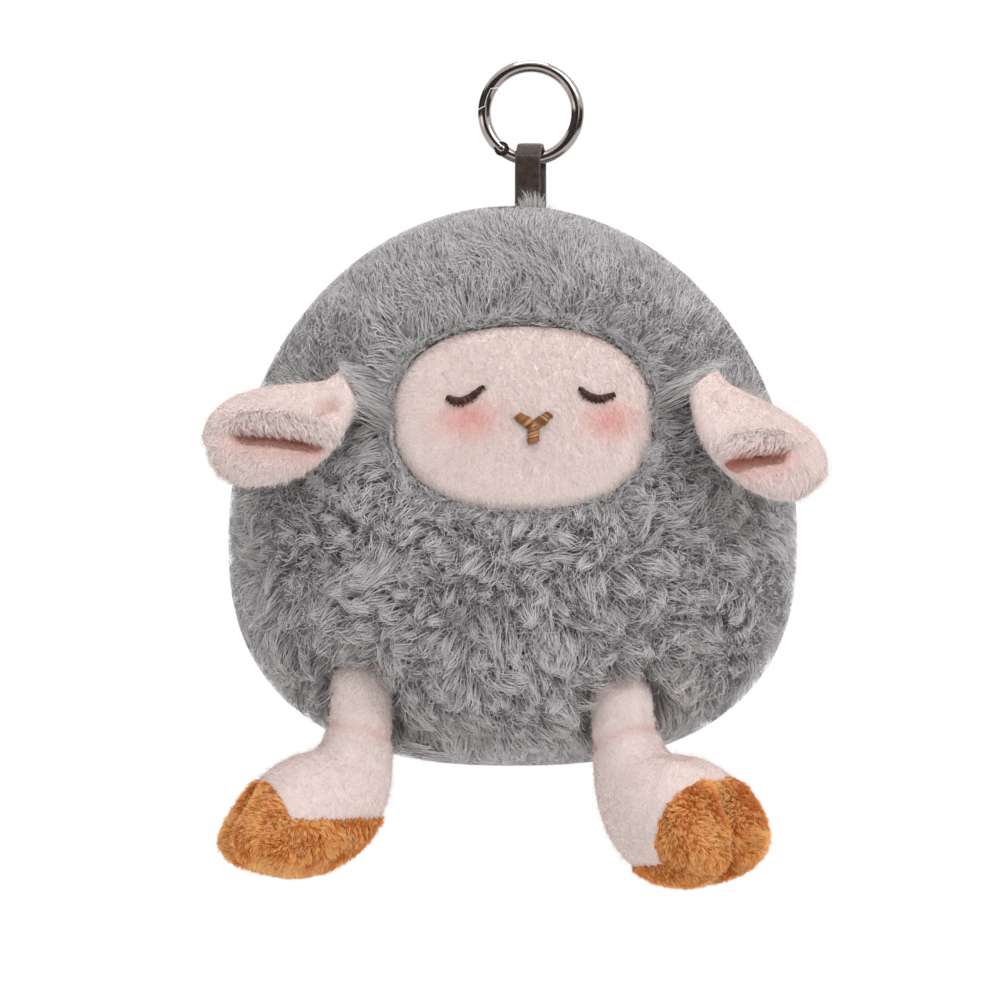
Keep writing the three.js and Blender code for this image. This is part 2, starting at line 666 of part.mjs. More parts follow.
/** One ring of the foot, spanning its profile and drawn in along the cleft between its toes. */
function footRing(index, inset) {
    const along = (index + 1) / FOOT_WIDTH_SHARES.length;
    const flank = index < FOOT_WIDTH_SHARES.indexOf(1) ? 1 : FOOT_WIDTH_SHARES[index];
    const setBack = inset * Math.sqrt(1 - flank ** 2);
    const point = (forwardShares, downShares) => new THREE.Vector3(
        0,
        setBack - FOOT_LENGTH * forwardShares[index],
        -LEG_LENGTH - FOOT_HEIGHT * downShares[index],
    );
    const top = point(TOP_FORWARD_SHARES, TOP_DOWN_SHARES);
    const sole = point(SOLE_FORWARD_SHARES, SOLE_DOWN_SHARES);
    const centre = new THREE.Vector3().lerpVectors(top, sole, 1 / 2);
    const half = new THREE.Vector3().subVectors(top, sole).multiplyScalar(1 / 2);
    half.setLength(half.length() - inset * flank);
    const width = FOOT_HALF_WIDTH * FOOT_WIDTH_SHARES[index] - inset * flank;
    const cleft = CLEFT_DEPTH * along ** CLEFT_POWER;
    return ellipseRing(centre, new THREE.Vector3(width, 0, 0), half, LEG_FACETS).map((edge) => {
        const pull = cleft * Math.exp(-((edge.x / CLEFT_HALF_WIDTH) ** 2));
        const drawn = Math.min(pull, half.length()) / 2;
        const inward = new THREE.Vector3().subVectors(centre, edge).clampLength(0, drawn);
        edge.add(inward);
        edge.y += pull;
        return edge;
    });
}

/** A whole leg from its round hip to its toes, less an inset all round. */
function legForm(inset) {
    const radius = LEG_RADIUS - inset;
    const level = (height, share) => {
        const across = new THREE.Vector3(radius * share, 0, 0);
        const forward = new THREE.Vector3(0, -radius * share, 0);
        return ellipseRing(new THREE.Vector3(0, 0, height), across, forward, LEG_FACETS);
    };
    const rings = Array.from({ length: HIP_RINGS }, (_, index) => {
        const angle = (Math.PI / 2) * ((index + 1) / HIP_RINGS);
        return level(radius * Math.cos(angle), Math.sin(angle));
    });
    rings.push(level(-LEG_LENGTH, 1));
    FOOT_WIDTH_SHARES.forEach((_, index) => rings.push(footRing(index, inset)));
    const toeDown = -LEG_LENGTH - FOOT_HEIGHT * TOE_DOWN_SHARE;
    const toe = new THREE.Vector3(0, inset + CLEFT_DEPTH - FOOT_LENGTH, toeDown);
    return skinOver(new THREE.Vector3(0, 0, radius), rings, toe);
}

/** The part of a foot that the hoof covers: the sole and the toe cap, shrunk by a gap. */
function hoofRegion(soleHeight, gap) {
    const bottom = -LEG_LENGTH - FOOT_HEIGHT;
    const sole = bottom + soleHeight - gap;
    const cap = TOE_CAP_LENGTH + gap;
    const top = -LEG_LENGTH - gap;
    const outline = new THREE.Shape();
    outline.moveTo(-FOOT_LENGTH, sole);
    outline.lineTo(cap - TOE_CAP_SLOPE, sole);
    outline.lineTo(cap + TOE_CAP_SLOPE, top);
    outline.lineTo(2 * FOOT_LENGTH, top);
    outline.lineTo(2 * FOOT_LENGTH, 2 * bottom);
    outline.lineTo(-FOOT_LENGTH, 2 * bottom);
    return solidOf(sidePrism(outline, 4 * FOOT_HALF_WIDTH));
}

/** The opening at the top of a leg's sleeve, where it is gathered into the seam. */
function sleeveOpening() {
    const radius = LEG_OPENING_DIAMETER / 2;
    const cylinder = new THREE.CylinderGeometry(radius, radius, LEG_RADIUS, LEG_FACETS);
    return solidOf(cylinder.rotateX(Math.PI / 2).translate(0, 0, LEG_RADIUS));
}

/** One leg: sleeve, hoof and stuffing in the foot's group. */
function makeLeg(name, groups, soleHeight) {
    const fabric = solidOf(legForm(0)).subtract(solidOf(legForm(LEG_FABRIC)));
    const sleeve = fabric.subtract(hoofRegion(soleHeight, 0)).subtract(sleeveOpening());
    const hoof = fabric.intersect(hoofRegion(soleHeight, SEAM_GAP));
    const stuffing = solidOf(legForm(LEG_FABRIC + 2 * SEAM_GAP));
    groups.foot.add(meshOf(`${name}_leg_sleeve`, sleeve, materials.pile));
    groups.foot.add(meshOf(`${name}_hoof`, hoof, materials.hoof));
    groups.foot.add(meshOf(`${name}_leg_stuffing`, stuffing, materials.stuffing));
    return groups.hip;
}

/** The body's two fur panels, cut for what is sewn into them. */
function makeBodyPanels(cuts, material) {
    const shell = bodySolid(0).subtract(bodySolid(FUR_THICKNESS)).subtract(cuts);
    const front = shell.intersect(seamSide(-1)).subtract(facePrism(SEAM_GAP));
    const back = shell.intersect(seamSide(1));
    return [
        meshOf('body_front_panel', front, material),
        meshOf('body_back_panel', back, material),
    ];
}

/** The layer of embroidery thread just over the face's surface. */
function stitchLayer() {
    const over = FACE_RECESS - SEAM_GAP;
    return bodySolid(over - STITCH_THICKNESS).subtract(bodySolid(over)).intersect(seamSide(-1));
}

/** The face panel, following the body's form a little below the fur. */
function makeFacePanel(material) {
    const layer = bodySolid(FACE_RECESS).subtract(bodySolid(faceInset));
    return meshOf('face_panel', layer.intersect(facePrism(0)), material);
}

/** A closed eye's outline: a sagging arc whose lower edge is stepped by its stitches. */
function eyeOutline() {
    const steps = 2 * EYE_STITCHES;
    const edge = (sign) => Array.from({ length: steps + 1 }, (_, index) => {
        const share = index / steps;
        const bow = 4 * share * (1 - share);
        const stitch = index % 2 && sign < 0 ? STITCH_STEP : 0;
        const half = (EYE_STROKE / 2) * Math.sqrt(bow);
        return new THREE.Vector2((share - 1 / 2) * EYE_WIDTH, sign * half - EYE_SAG * bow - stitch);
    });
    return new THREE.Shape([...edge(-1), ...edge(1).reverse().slice(1, -1)]);
}

/** One closed eye, laid on the face. */
function makeEye(name, side, layer, material) {
    const prism = frontPrism(eyeOutline(), 2 * bodySpan).rotateY(side * radians(EYE_TILT));
    const x = BODY_OFFSET + FEATURE_OFFSET + side * EYE_REACH;
    const solid = solidOf(prism.translate(x, 0, bodyZ + EYE_RISE)).intersect(layer);
    return meshOf(name, solid, material);
}

/** A stroke of satin stitch from the nose's middle, at an angle from straight up. */
function noseStroke(angle, length) {
    const radius = NOSE_STROKE / 2;
    const outline = new THREE.Shape();
    outline.absarc(0, 0, radius, Math.PI, 2 * Math.PI, false);
    outline.absarc(0, length, radius, 0, Math.PI, false);
    const prism = new THREE.ExtrudeGeometry(outline, {
        depth: 2 * bodySpan,
        bevelEnabled: false,
        curveSegments: STITCH_FACETS,
    });
    prism.rotateX(Math.PI / 2).rotateY(radians(angle));
    const x = BODY_OFFSET + FEATURE_OFFSET;
    return solidOf(prism.translate(x, bodySpan, bodyZ + NOSE_RISE));
}

/** The nose and mouth: two arms and a stem. */
function makeNose(layer, material) {
    const arms = noseStroke(NOSE_ARM_ANGLE, NOSE_ARM_LENGTH)
        .add(noseStroke(-NOSE_ARM_ANGLE, NOSE_ARM_LENGTH));
    const stem = noseStroke(NOSE_STEM_ANGLE, NOSE_STEM_LENGTH);
    const solid = arms.add(stem).intersect(layer);
    return meshOf('nose_stitching', solid, material);
}

/** A material by its colour, with cloth's roughness unless stated. */
function makeMaterial(color, roughness = 0.95, metalness = 0) {
    return new THREE.MeshStandardMaterial({ color, roughness, metalness });
}

const materials = {
    nickel: makeMaterial(0x8f8a87, 0.2, 1),
    steel: makeMaterial(0xb9b9bb, 0.35, 1),
    leather: makeMaterial(0x45352f, 0.5),
    fur: makeMaterial(0x8c8889),
    pile: makeMaterial(0xe6d0cb),
    lining: makeMaterial(0xc8a99f),
    hoof: makeMaterial(0xc47a42),
    stuffing: makeMaterial(0xf4f2ee),
    eyeThread: makeMaterial(0x4a2b22, 0.6),
    noseThread: makeMaterial(0x9b6338, 0.6),
};

/** The whole charm as a scene graph. */
function makeCharm() {
    const charm = new THREE.Group();
    const left = makeLegGroups(-1, LEFT_HIP_INSET, LEFT_HIP_DROP, LEFT_SPLAY, LEFT_TOE_OUT);
    const right = makeLegGroups(1, RIGHT_HIP_INSET, RIGHT_HIP_DROP, RIGHT_SPLAY, RIGHT_TOE_OUT);
    const leftEar = makeEar(
        'left', -1, LEFT_EAR_INSET, LEFT_EAR_LIFT, LEFT_EAR_DROOP, LEFT_SLIT_TURN,
    );
    const rightEar = makeEar(
        'right', 1, RIGHT_EAR_INSET, RIGHT_EAR_LIFT, RIGHT_EAR_DROOP, RIGHT_SLIT_TURN,
    );
    const sockets = [leftEar, rightEar].map((ear) => solidOf(standing(earNeck(SEAM_GAP), ear)));
    const sweeps = hipSweep(left.hip).add(hipSweep(right.hip));
    const cuts = sweeps.add(sockets[0]).add(sockets[1]).add(strapSlot());
    const stuffing = bodySolid(FUR_THICKNESS + SEAM_GAP).subtract(cuts);
    const layer = stitchLayer();
    charm.add(makeRingBody(materials.nickel), makeRingGate(materials.nickel));
    charm.add(makeRivet(materials.nickel), makeGateSpringGroup(materials.steel));
    charm.add(makeStrap(materials.leather), ...makeBodyPanels(cuts, materials.fur));
    charm.add(meshOf('body_stuffing', stuffing, materials.stuffing), makeFacePanel(materials.pile));
    charm.add(makeEye('left_eye_stitching', -1, layer, materials.eyeThread));
    charm.add(makeEye('right_eye_stitching', 1, layer, materials.eyeThread));
    charm.add(makeNose(layer, materials.noseThread), leftEar, rightEar);
    charm.add(makeLeg('left', left, LEFT_SOLE_HEIGHT), makeLeg('right', right, RIGHT_SOLE_HEIGHT));
    return charm;
}

export default makeCharm();
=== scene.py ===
"""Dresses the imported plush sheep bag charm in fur, pile, thread, leather and nickel.

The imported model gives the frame: metres, +Z up, -Y towards the viewer, the origin at the inside top
of the ring. Sizes below are in millimetres and become metres when a mesh is made. Left and right
are as the viewer sees them from the front.
"""

import json
import logging
import math
from dataclasses import dataclass, field, replace
from enum import Enum
from typing import Callable, Optional, Sequence, Union

import bpy
import numpy as np
from mathutils import Matrix, Vector
from mathutils.kdtree import KDTree


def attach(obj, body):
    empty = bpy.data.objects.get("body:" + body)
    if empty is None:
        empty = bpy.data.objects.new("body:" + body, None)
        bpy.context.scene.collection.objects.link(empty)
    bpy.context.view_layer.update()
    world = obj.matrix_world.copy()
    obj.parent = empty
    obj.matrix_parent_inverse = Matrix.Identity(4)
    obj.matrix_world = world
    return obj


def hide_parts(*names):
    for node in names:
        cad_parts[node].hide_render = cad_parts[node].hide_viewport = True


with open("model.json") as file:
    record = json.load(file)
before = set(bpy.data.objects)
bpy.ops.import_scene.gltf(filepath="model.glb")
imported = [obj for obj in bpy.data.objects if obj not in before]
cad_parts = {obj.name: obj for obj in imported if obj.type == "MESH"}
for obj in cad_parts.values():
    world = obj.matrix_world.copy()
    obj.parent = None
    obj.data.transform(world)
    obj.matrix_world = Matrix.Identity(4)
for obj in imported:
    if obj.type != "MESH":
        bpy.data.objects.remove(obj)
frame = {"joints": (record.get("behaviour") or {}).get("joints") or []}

Array = np.ndarray
Colour = tuple[float, float, float]
Place = tuple[float, float, float]
Stops = tuple[tuple[float, Colour], ...]
Random = np.random.Generator

log = logging.getLogger("plush_sheep")

MM = 0.001
BAKE_MAP = "OFBake"
UP = np.array([0.0, 0.0, 1.0])
TINY = 1e-9
NOISE_CELLS = 16
SQUARE = ((-1, -1), (1, -1), (1, 1), (-1, 1))


class Side(Enum):
    """A side of the toy as the viewer sees it, with its sign along X."""

    LEFT = -1
    RIGHT = 1

    @property
    def word(self) -> str:
        """The side's name in piece names."""
        return self.name.lower()


class Cut(Enum):
    """How one solid changes another."""

    REMOVE = "DIFFERENCE"
    KEEP = "INTERSECT"
    JOIN = "UNION"


# Shading


@dataclass(frozen=True)
class Wire:
    """One output socket of a node tree, on which arithmetic adds Math nodes."""

    bench: "Bench"
    socket: bpy.types.NodeSocket

    def __add__(self, other: "Feed") -> "Wire":
        """This value plus another."""
        return self.bench.math("ADD", self, other)

    def __radd__(self, other: "Feed") -> "Wire":
        """Another value plus this one."""
        return self.bench.math("ADD", other, self)

    def __sub__(self, other: "Feed") -> "Wire":
        """This value less another."""
        return self.bench.math("SUBTRACT", self, other)

    def __rsub__(self, other: "Feed") -> "Wire":
        """Another value less this one."""
        return self.bench.math("SUBTRACT", other, self)

    def __mul__(self, other: "Feed") -> "Wire":
        """This value times another."""
        return self.bench.math("MULTIPLY", self, other)

    def __rmul__(self, other: "Feed") -> "Wire":
        """Another value times this one."""
        return self.bench.math("MULTIPLY", other, self)


Feed = Union[Wire, float, Sequence[float], str, bool]


class Bench:
    """Adds nodes to the tree of one material or world."""

    def __init__(self, tree: bpy.types.NodeTree) -> None:
        """Clears a tree to work on.

        Args:
            tree: The node tree of a material or world.
        """
        self.tree = tree
        tree.nodes.clear()

    def node(
        self,
        kind: str,
        settings: Optional[dict[str, object]] = None,
        feeds: Optional[dict[Union[str, int], Feed]] = None,
        output: Union[str, int] = 0,
    ) -> Optional[Wire]:
        """Adds one node, with its settings first and then its sockets.

        Args:
            kind: The node's type name.
            settings: Its own settings by name; "stops" sets a ramp's stops.
            feeds: The value or link of each socket, by the socket's name or number.
            output: The output socket that is wanted.

        Returns:
            The wanted output, or None for a node that has none.
        """
        made = self.tree.nodes.new(kind)
        for name, value in (settings or {}).items():
            if name == "stops":
                self._set_stops(made.color_ramp, value)
            else:
                setattr(made, name, value)
        for key, feed in (feeds or {}).items():
            if isinstance(feed, Wire):
                self.tree.links.new(feed.socket, made.inputs[key])
            else:
                made.inputs[key].default_value = feed
        return Wire(self, made.outputs[output]) if made.outputs else None

    @staticmethod
    def _set_stops(ramp: bpy.types.ColorRamp, stops: Stops) -> None:
        """Sets a ramp's stops from pairs of place and colour.

        Args:
            ramp: The ramp of a Color Ramp node.
            stops: The pairs, in order.
        """
        while len(ramp.elements) < len(stops):
            ramp.elements.new(1.0)
        for element, (place, colour) in zip(ramp.elements, stops):
            element.position = place
            element.color = (*colour, 1.0)

    def math(self, operation: str, first: Feed, second: Feed) -> Wire:
        """One Math node on two values."""
        return self.node("ShaderNodeMath", {"operation": operation}, {0: first, 1: second})

    def mark(self, name: str) -> Wire:
        """A number kept on the mesh's points."""
        return self.node("ShaderNodeAttribute", {"attribute_name": name}, {}, "Fac")

    def ramp(self, level: Feed, stops: Stops) -> Wire:
        """A colour looked up along stops."""
        return self.node("ShaderNodeValToRGB", {"stops": stops}, {"Fac": level}, "Color")

    def mix(self, share: Feed, first: Feed, second: Feed) -> Wire:
        """One colour passing into another by a share. The colour sockets only have numbers."""
        feeds = {0: share, 6: first, 7: second}
        return self.node("ShaderNodeMix", {"data_type": "RGBA"}, feeds, 2)

    def blushed(self, colour: Wire, blush: Optional[Colour]) -> Wire:
        """A colour with the blush and painted shade that are marked on the mesh, where the finish has
        a colour for them.
        """
        return self.mix(self.mark("blush"), colour, opaque(blush)) if blush else colour

    def noise(
        self, scale: float, detail: float = 2.0, stretch: Sequence[float] = (1, 1, 1)
    ) -> Wire:
        """Soft noise over space.

        Args:
            scale: Cells for each metre.
            detail: Octaves of finer noise.
            stretch: How much finer the noise is along each axis.

        Returns:
            The noise's value, about 0.5 on average.
        """
        place = self.node("ShaderNodeTexCoord", {}, {}, "Object")
        spread = self.node("ShaderNodeMapping", {}, {"Vector": place, "Scale": stretch})
        feeds = {"Vector": spread, "Scale": scale, "Detail": detail}
        return self.node("ShaderNodeTexNoise", {}, feeds, "Fac")

    def bump(self, height: Feed, strength: float, distance: float) -> Wire:
        """A bump normal from a height."""
        feeds = {"Height": height, "Strength": strength, "Distance": distance}
        return self.node("ShaderNodeBump", {}, feeds, "Normal")

    def surface(self, feeds: dict[Union[str, int], Feed]) -> Wire:
        """The main shader with the sockets given."""
        return self.node("ShaderNodeBsdfPrincipled", {}, feeds, "BSDF")


def opaque(colour: Colour) -> tuple[float, float, float, float]:
    """A colour with full opacity, as a colour socket takes it."""
    return (*colour, 1.0)


@dataclass(frozen=True)
class Finish:
    """A surface finish. A subclass builds its shader, and its material is made once."""

    name: str

    def shader(self, bench: Bench) -> Wire:
        """The finish's shader on a cleared tree."""
        raise NotImplementedError

    def material(self) -> bpy.types.Material:
        """The finish's material, made at its first use.

        Returns:
            The material.
        """
        known = bpy.data.materials.get(self.name)
        if known:
            return known
        made = bpy.data.materials.new(self.name)
        made.use_nodes = True
        bench = Bench(made.node_tree)
        bench.node("ShaderNodeOutputMaterial", {}, {"Surface": self.shader(bench)})
        return made


@dataclass(frozen=True)
class StrandFinish(Finish):
    """Fibres that pass from a dark root to a pale tip, each with a tone of its own."""

    stops: Stops
    along_share: float = 0.6
    roughness: float = 0.62
    blush: Optional[Colour] = None

    def shader(self, bench: Bench) -> Wire:
        """Fibre colour from the place along the strand and the strand's own tone.

        Args:
            bench: The tree to build it on.

        Returns:
            The shader's output.
        """
        level = bench.mark("along") * self.along_share + bench.mark("tone") * (1 - self.along_share)
        colour = bench.blushed(bench.ramp(level, self.stops), self.blush)
        feeds = {"Base Color": colour, "Roughness": self.roughness, "Specular IOR Level": 0.25}
        return bench.surface(feeds)


@dataclass(frozen=True)
class ClothFinish(Finish):
    """Backing cloth under the strands, mottled and softly napped."""

    dark: Colour
    light: Colour
    blush: Optional[Colour] = None
    scale: float = 420.0
    roughness: float = 0.9

    def shader(self, bench: Bench) -> Wire:
        """Mottled cloth with a fine nap.

        Args:
            bench: The tree to build it on.

        Returns:
            The shader's output.
        """
        nap = bench.noise(self.scale, 3.0)
        colour = bench.blushed(bench.ramp(nap, ((0.3, self.dark), (0.7, self.light))), self.blush)
        feeds = {"Base Color": colour, "Roughness": self.roughness, "Specular IOR Level": 0.2}
        feeds["Normal"] = bench.bump(bench.noise(3 * self.scale), 0.5, 0.3 * MM)
        return bench.surface(feeds)


@dataclass(frozen=True)
class MetalFinish(Finish):
    """Plated metal with fine handling marks."""

    dark: Colour
    light: Colour
    roughness: float = 0.08

    def shader(self, bench: Bench) -> Wire:
        """Metal whose colour varies a little in soft patches, with fine scuffs.

        Args:
            bench: The tree to build it on.

        Returns:
            The shader's output.
        """
        cloud = bench.noise(160.0, 3.0)
        scuff = bench.noise(420.0, 2.0, (1, 1, 3))
        colour = bench.ramp(cloud, ((0.3, self.dark), (0.75, self.light)))
        roughness = scuff * 0.12 + self.roughness
        normal = bench.bump(scuff, 0.03, 0.03 * MM)
        feeds = {"Base Color": colour, "Metallic": 1.0, "Roughness": roughness, "Normal": normal}
        return bench.surface(feeds)


@dataclass(frozen=True)
class LeatherFinish(Finish):
    """Dark leather with a fine grain, paler along its cut edges, partly from wear and partly as a
    painted highlight.
    """

    deep: Colour
    face: Colour
    worn: Colour

    def shader(self, bench: Bench) -> Wire:
        """Grained leather, paler where the edge mark is high.

        Args:
            bench: The tree to build it on.

        Returns:
            The shader's output.
        """
        place = bench.node("ShaderNodeTexCoord", {}, {}, "Object")
        cells = {"Vector": place, "Scale": 1900.0}
        grain = bench.node("ShaderNodeTexVoronoi", {}, cells, "Distance")
        cloud = bench.noise(520.0, 4.0)
        colour = bench.ramp(cloud, ((0.32, self.deep), (0.68, self.face)))
        # Along the cut edges the colour turns paler: edge wear and a painted highlight.
        wear_and_highlight = bench.mark("edge") * (bench.noise(1400.0) * 0.7 + 0.25)
        height = grain * 0.6 + cloud
        return bench.surface({
            "Base Color": bench.mix(wear_and_highlight, colour, opaque(self.worn)),
            "Roughness": cloud * 0.25 + 0.42,
            "Specular IOR Level": 0.4,
            "Normal": bench.bump(height, 0.9, 0.2 * MM),
        })


@dataclass(frozen=True)
class ThreadFinish(Finish):
    """Shiny embroidery thread with twisted plies."""

    stops: Stops
    plies: float = 60.0

    def shader(self, bench: Bench) -> Wire:
        """Thread colour by the stitch's tone, with light and dark bands painted along the twist of
        its plies as highlight and shade, and a bump from the twist.

        Args:
            bench: The tree to build it on.

        Returns:
            The shader's output.
        """
        twist = bench.math("SINE", bench.mark("along") * self.plies, 0.0)
        # The twist's bands in the colour are painted highlight and shade along the plies.
        level = bench.mark("tone") + twist * 0.12
        return bench.surface({
            "Base Color": bench.ramp(level, self.stops),
            "Roughness": 0.42,
            "Specular IOR Level": 0.35,
            "Normal": bench.bump(twist, 0.4, 0.05 * MM),
        })


@dataclass(frozen=True)
class CardFinish(Finish):
    """Matt card that darkens what the metal mirrors."""

    colour: Colour

    def shader(self, bench: Bench) -> Wire:
        """Plain matt card with a faint mottle.

        Args:
            bench: The tree to build it on.

        Returns:
            The shader's output.
        """
        mottle = bench.noise(40.0)
        light = tuple(1.3 * channel for channel in self.colour)
        colour = bench.ramp(mottle, ((0.3, self.colour), (0.7, light)))
        return bench.surface({"Base Color": colour, "Roughness": 0.9})


@dataclass(frozen=True)
class FloorFinish(Finish):
    """A white floor that keeps a soft shadow."""

    glow: float = 0.86

    def shader(self, bench: Bench) -> Wire:
        """White to the camera and to glossy rays, and plain pale paint to all other light.

        Args:
            bench: The tree to build it on.

        Returns:
            The shader's output.
        """
        seen = seen_directly(bench) * self.glow
        paint = bench.node("ShaderNodeBsdfDiffuse", {}, {"Color": opaque((0.9, 0.9, 0.9))})
        white = bench.node("ShaderNodeEmission", {}, {"Strength": 1.0})
        return bench.node("ShaderNodeMixShader", {}, {0: seen, 1: paint, 2: white})


def seen_directly(bench: Bench) -> Wire:
    """1 for rays from the camera or through gloss and glass, and 0 for other light.

    Args:
        bench: The tree to build it on.

    Returns:
        The value.
    """
    def ray(kind: str) -> Wire:
        """One kind of ray from the Light Path node."""
        return bench.node("ShaderNodeLightPath", {}, {}, kind)

    glass = bench.math("MAXIMUM", ray("Is Glossy Ray"), ray("Is Transmission Ray"))
    return bench.math("MAXIMUM", ray("Is Camera Ray"), glass)


GREY_FUR = StrandFinish(
    "grey fur",
    (
        (0.0, (0.330, 0.308, 0.310)), (0.35, (0.455, 0.430, 0.432)),
        (0.62, (0.650, 0.624, 0.627)), (1.0, (0.90, 0.885, 0.89)),
    ),
    roughness=0.6,
)
PINK_PILE = StrandFinish(
    "pink pile",
    ((0.0, (0.84, 0.715, 0.685)), (0.45, (0.935, 0.825, 0.795)), (1.0, (0.98, 0.91, 0.89))),
    blush=(0.93, 0.36, 0.30),
)
LINING_PILE = StrandFinish(
    "ear lining pile",
    ((0.0, (0.74, 0.56, 0.52)), (0.5, (0.88, 0.73, 0.69)), (1.0, (0.95, 0.85, 0.82))),
    blush=(0.98, 0.48, 0.35),
)
HOOF_PILE = StrandFinish(
    "ochre hoof pile",
    ((0.0, (0.52, 0.170, 0.035)), (0.45, (1.0, 0.475, 0.145)), (1.0, (1.0, 0.80, 0.42))),
    along_share=0.5,
)
FUR_BACKING = ClothFinish("fur backing", (0.270, 0.253, 0.254), (0.37, 0.349, 0.351))
PINK_BACKING = ClothFinish(
    "pink backing", (0.89, 0.765, 0.735), (0.93, 0.825, 0.795), blush=(0.88, 0.36, 0.30)
)
LINING_BACKING = ClothFinish(
    "lining backing", (0.72, 0.54, 0.50), (0.84, 0.68, 0.64), blush=(0.92, 0.42, 0.30)
)
HOOF_BACKING = ClothFinish("hoof backing", (0.46, 0.150, 0.030), (0.68, 0.26, 0.065))
STUFFING = ClothFinish("polyester stuffing", (0.74, 0.73, 0.70), (0.90, 0.89, 0.87), scale=260.0)
NICKEL = MetalFinish("polished nickel", (0.36, 0.315, 0.30), (0.50, 0.45, 0.43))
SPRING_STEEL = MetalFinish("spring steel", (0.50, 0.50, 0.51), (0.66, 0.66, 0.67), 0.25)
LEATHER = LeatherFinish(
    "dark leather", (0.028, 0.017, 0.013), (0.075, 0.048, 0.038), (0.20, 0.155, 0.135)
)
EYE_THREAD = ThreadFinish(
    "dark brown thread",
    ((0.0, (0.008, 0.002, 0.001)), (0.55, (0.045, 0.013, 0.008)), (1.0, (0.22, 0.085, 0.055))),
)
NOSE_THREAD = ThreadFinish(
    "golden brown thread",
    ((0.0, (0.08, 0.022, 0.007)), (0.45, (0.30, 0.115, 0.036)), (1.0, (0.80, 0.48, 0.23))),
)
WHITE_FLOOR = FloorFinish("white floor")
DARK_CARD = CardFinish("dark card", (0.030, 0.026, 0.024))


# Shapes in numbers


def unit(vectors: Array) -> Array:
    """Vectors scaled to length one."""
    return vectors / np.maximum(np.linalg.norm(vectors, axis=-1, keepdims=True), TINY)


def along_surface(vectors: Array, normals: Array) -> Array:
    """The part of each vector that lies along the surface, at length one."""
    return unit(vectors - normals * np.sum(vectors * normals, axis=-1, keepdims=True))


def eased(values: Array, low: float, high: float) -> Array:
    """0 below a low value and 1 above a high one, passing smoothly between."""
    share = np.clip((values - low) / (high - low), 0, 1)
    return share * share * (3 - 2 * share)


def bell(values: Array, width: float) -> Array:
    """A bell curve that is 1 at zero."""
    return np.exp(-((values / width) ** 2))


def signed_power(values: Array, power: float) -> Array:
    """Values raised to a power, with their signs kept."""
    return np.sign(values) * np.abs(values) ** power


def circle(sides: int) -> Array:
    """Angles spread evenly round a circle."""
    return np.linspace(0, 2 * math.pi, sides, endpoint=False)


def points_of(*parts: Union[Array, float]) -> Array:
    """Points from their parts along each axis, all brought to one shape."""
    return np.stack(np.broadcast_arrays(*parts), axis=-1)


def quarter_turned(flat: Array) -> Array:
    """Flat vectors after a quarter turn."""
    return points_of(-flat[..., 1], flat[..., 0])


def swirled(ways: Array, normals: Array, angle: Array) -> Array:
    """Ways along a surface, turned on it by an angle."""
    return unit(ways * np.cos(angle) + np.cross(normals, ways) * np.sin(angle))


def smooth_rows(rows: Array, count: int) -> Array:
    """Samples of a smooth curve through rows of values.

    Args:
        rows: The values that the curve passes through, one row each.
        count: How many samples to take, both ends included.

    Returns:
        One row for each sample.
    """
    rows = np.asarray(rows, float)
    ends = [2 * rows[:1] - rows[1:2], rows, 2 * rows[-1:] - rows[-2:-1]]
    padded = np.concatenate(ends)
    place = np.linspace(0, len(rows) - 1 - TINY, count)
    index = place.astype(int)
    t = (place - index)[:, None]
    before, start, end, after = (padded[index + shift] for shift in range(4))
    curve = 2 * before - 5 * start + 4 * end - after
    twist = 3 * start - before - 3 * end + after
    return (2 * start + (end - before) * t + curve * t**2 + twist * t**3) / 2


def soft_noise(points: Array, seed: int, cell: float) -> Array:
    """Smooth random values over space, from a seeded lattice that repeats far apart.

    Args:
        points: Places in millimetres.
        seed: The seed of the lattice's values.
        cell: The size of one cell in millimetres.

    Returns:
        A value between -1 and 1 for each point.
    """
    lattice = np.random.default_rng(seed).uniform(-1, 1, (NOISE_CELLS,) * 3)
    scaled = points / cell
    base = np.floor(scaled).astype(int)
    share = eased(scaled - base, 0, 1)
    total = np.zeros(points.shape[:-1])
    for corner in np.ndindex(2, 2, 2):
        weight = np.prod(np.where(corner, share, 1 - share), axis=-1)
        total += weight * lattice[tuple(np.moveaxis((base + corner) % NOISE_CELLS, -1, 0))]
    return total


def flat_noise(flat: Array, seed: int, cell: float) -> Array:
    """Soft noise at flat places."""
    return soft_noise(np.pad(flat, ((0, 0), (0, 1))), seed, cell)


def kept_marks(marks: dict[str, Array], keep: Array) -> dict[str, Array]:
    """The marks of the points or strands that a mask or list keeps."""
    return {name: values[keep] for name, values in marks.items()}


def marks_joined(groups: Sequence[Union["Skin", "Strands"]]) -> dict[str, Array]:
    """The marks that all of several skins or coats of strands have, as one."""
    names = sorted(set.intersection(*(set(group.marks) for group in groups)))
    return {name: np.concatenate([group.marks[name] for group in groups]) for name in names}


@dataclass
class Roots:
    """Where strands grow from: places and outward normals, with a skin's marks at each."""

    points: Array
    normals: Array
    marks: dict[str, Array]

    def chosen(self, keep: Array) -> "Roots":
        """Only the roots that a mask keeps."""
        return Roots(self.points[keep], self.normals[keep], kept_marks(self.marks, keep))


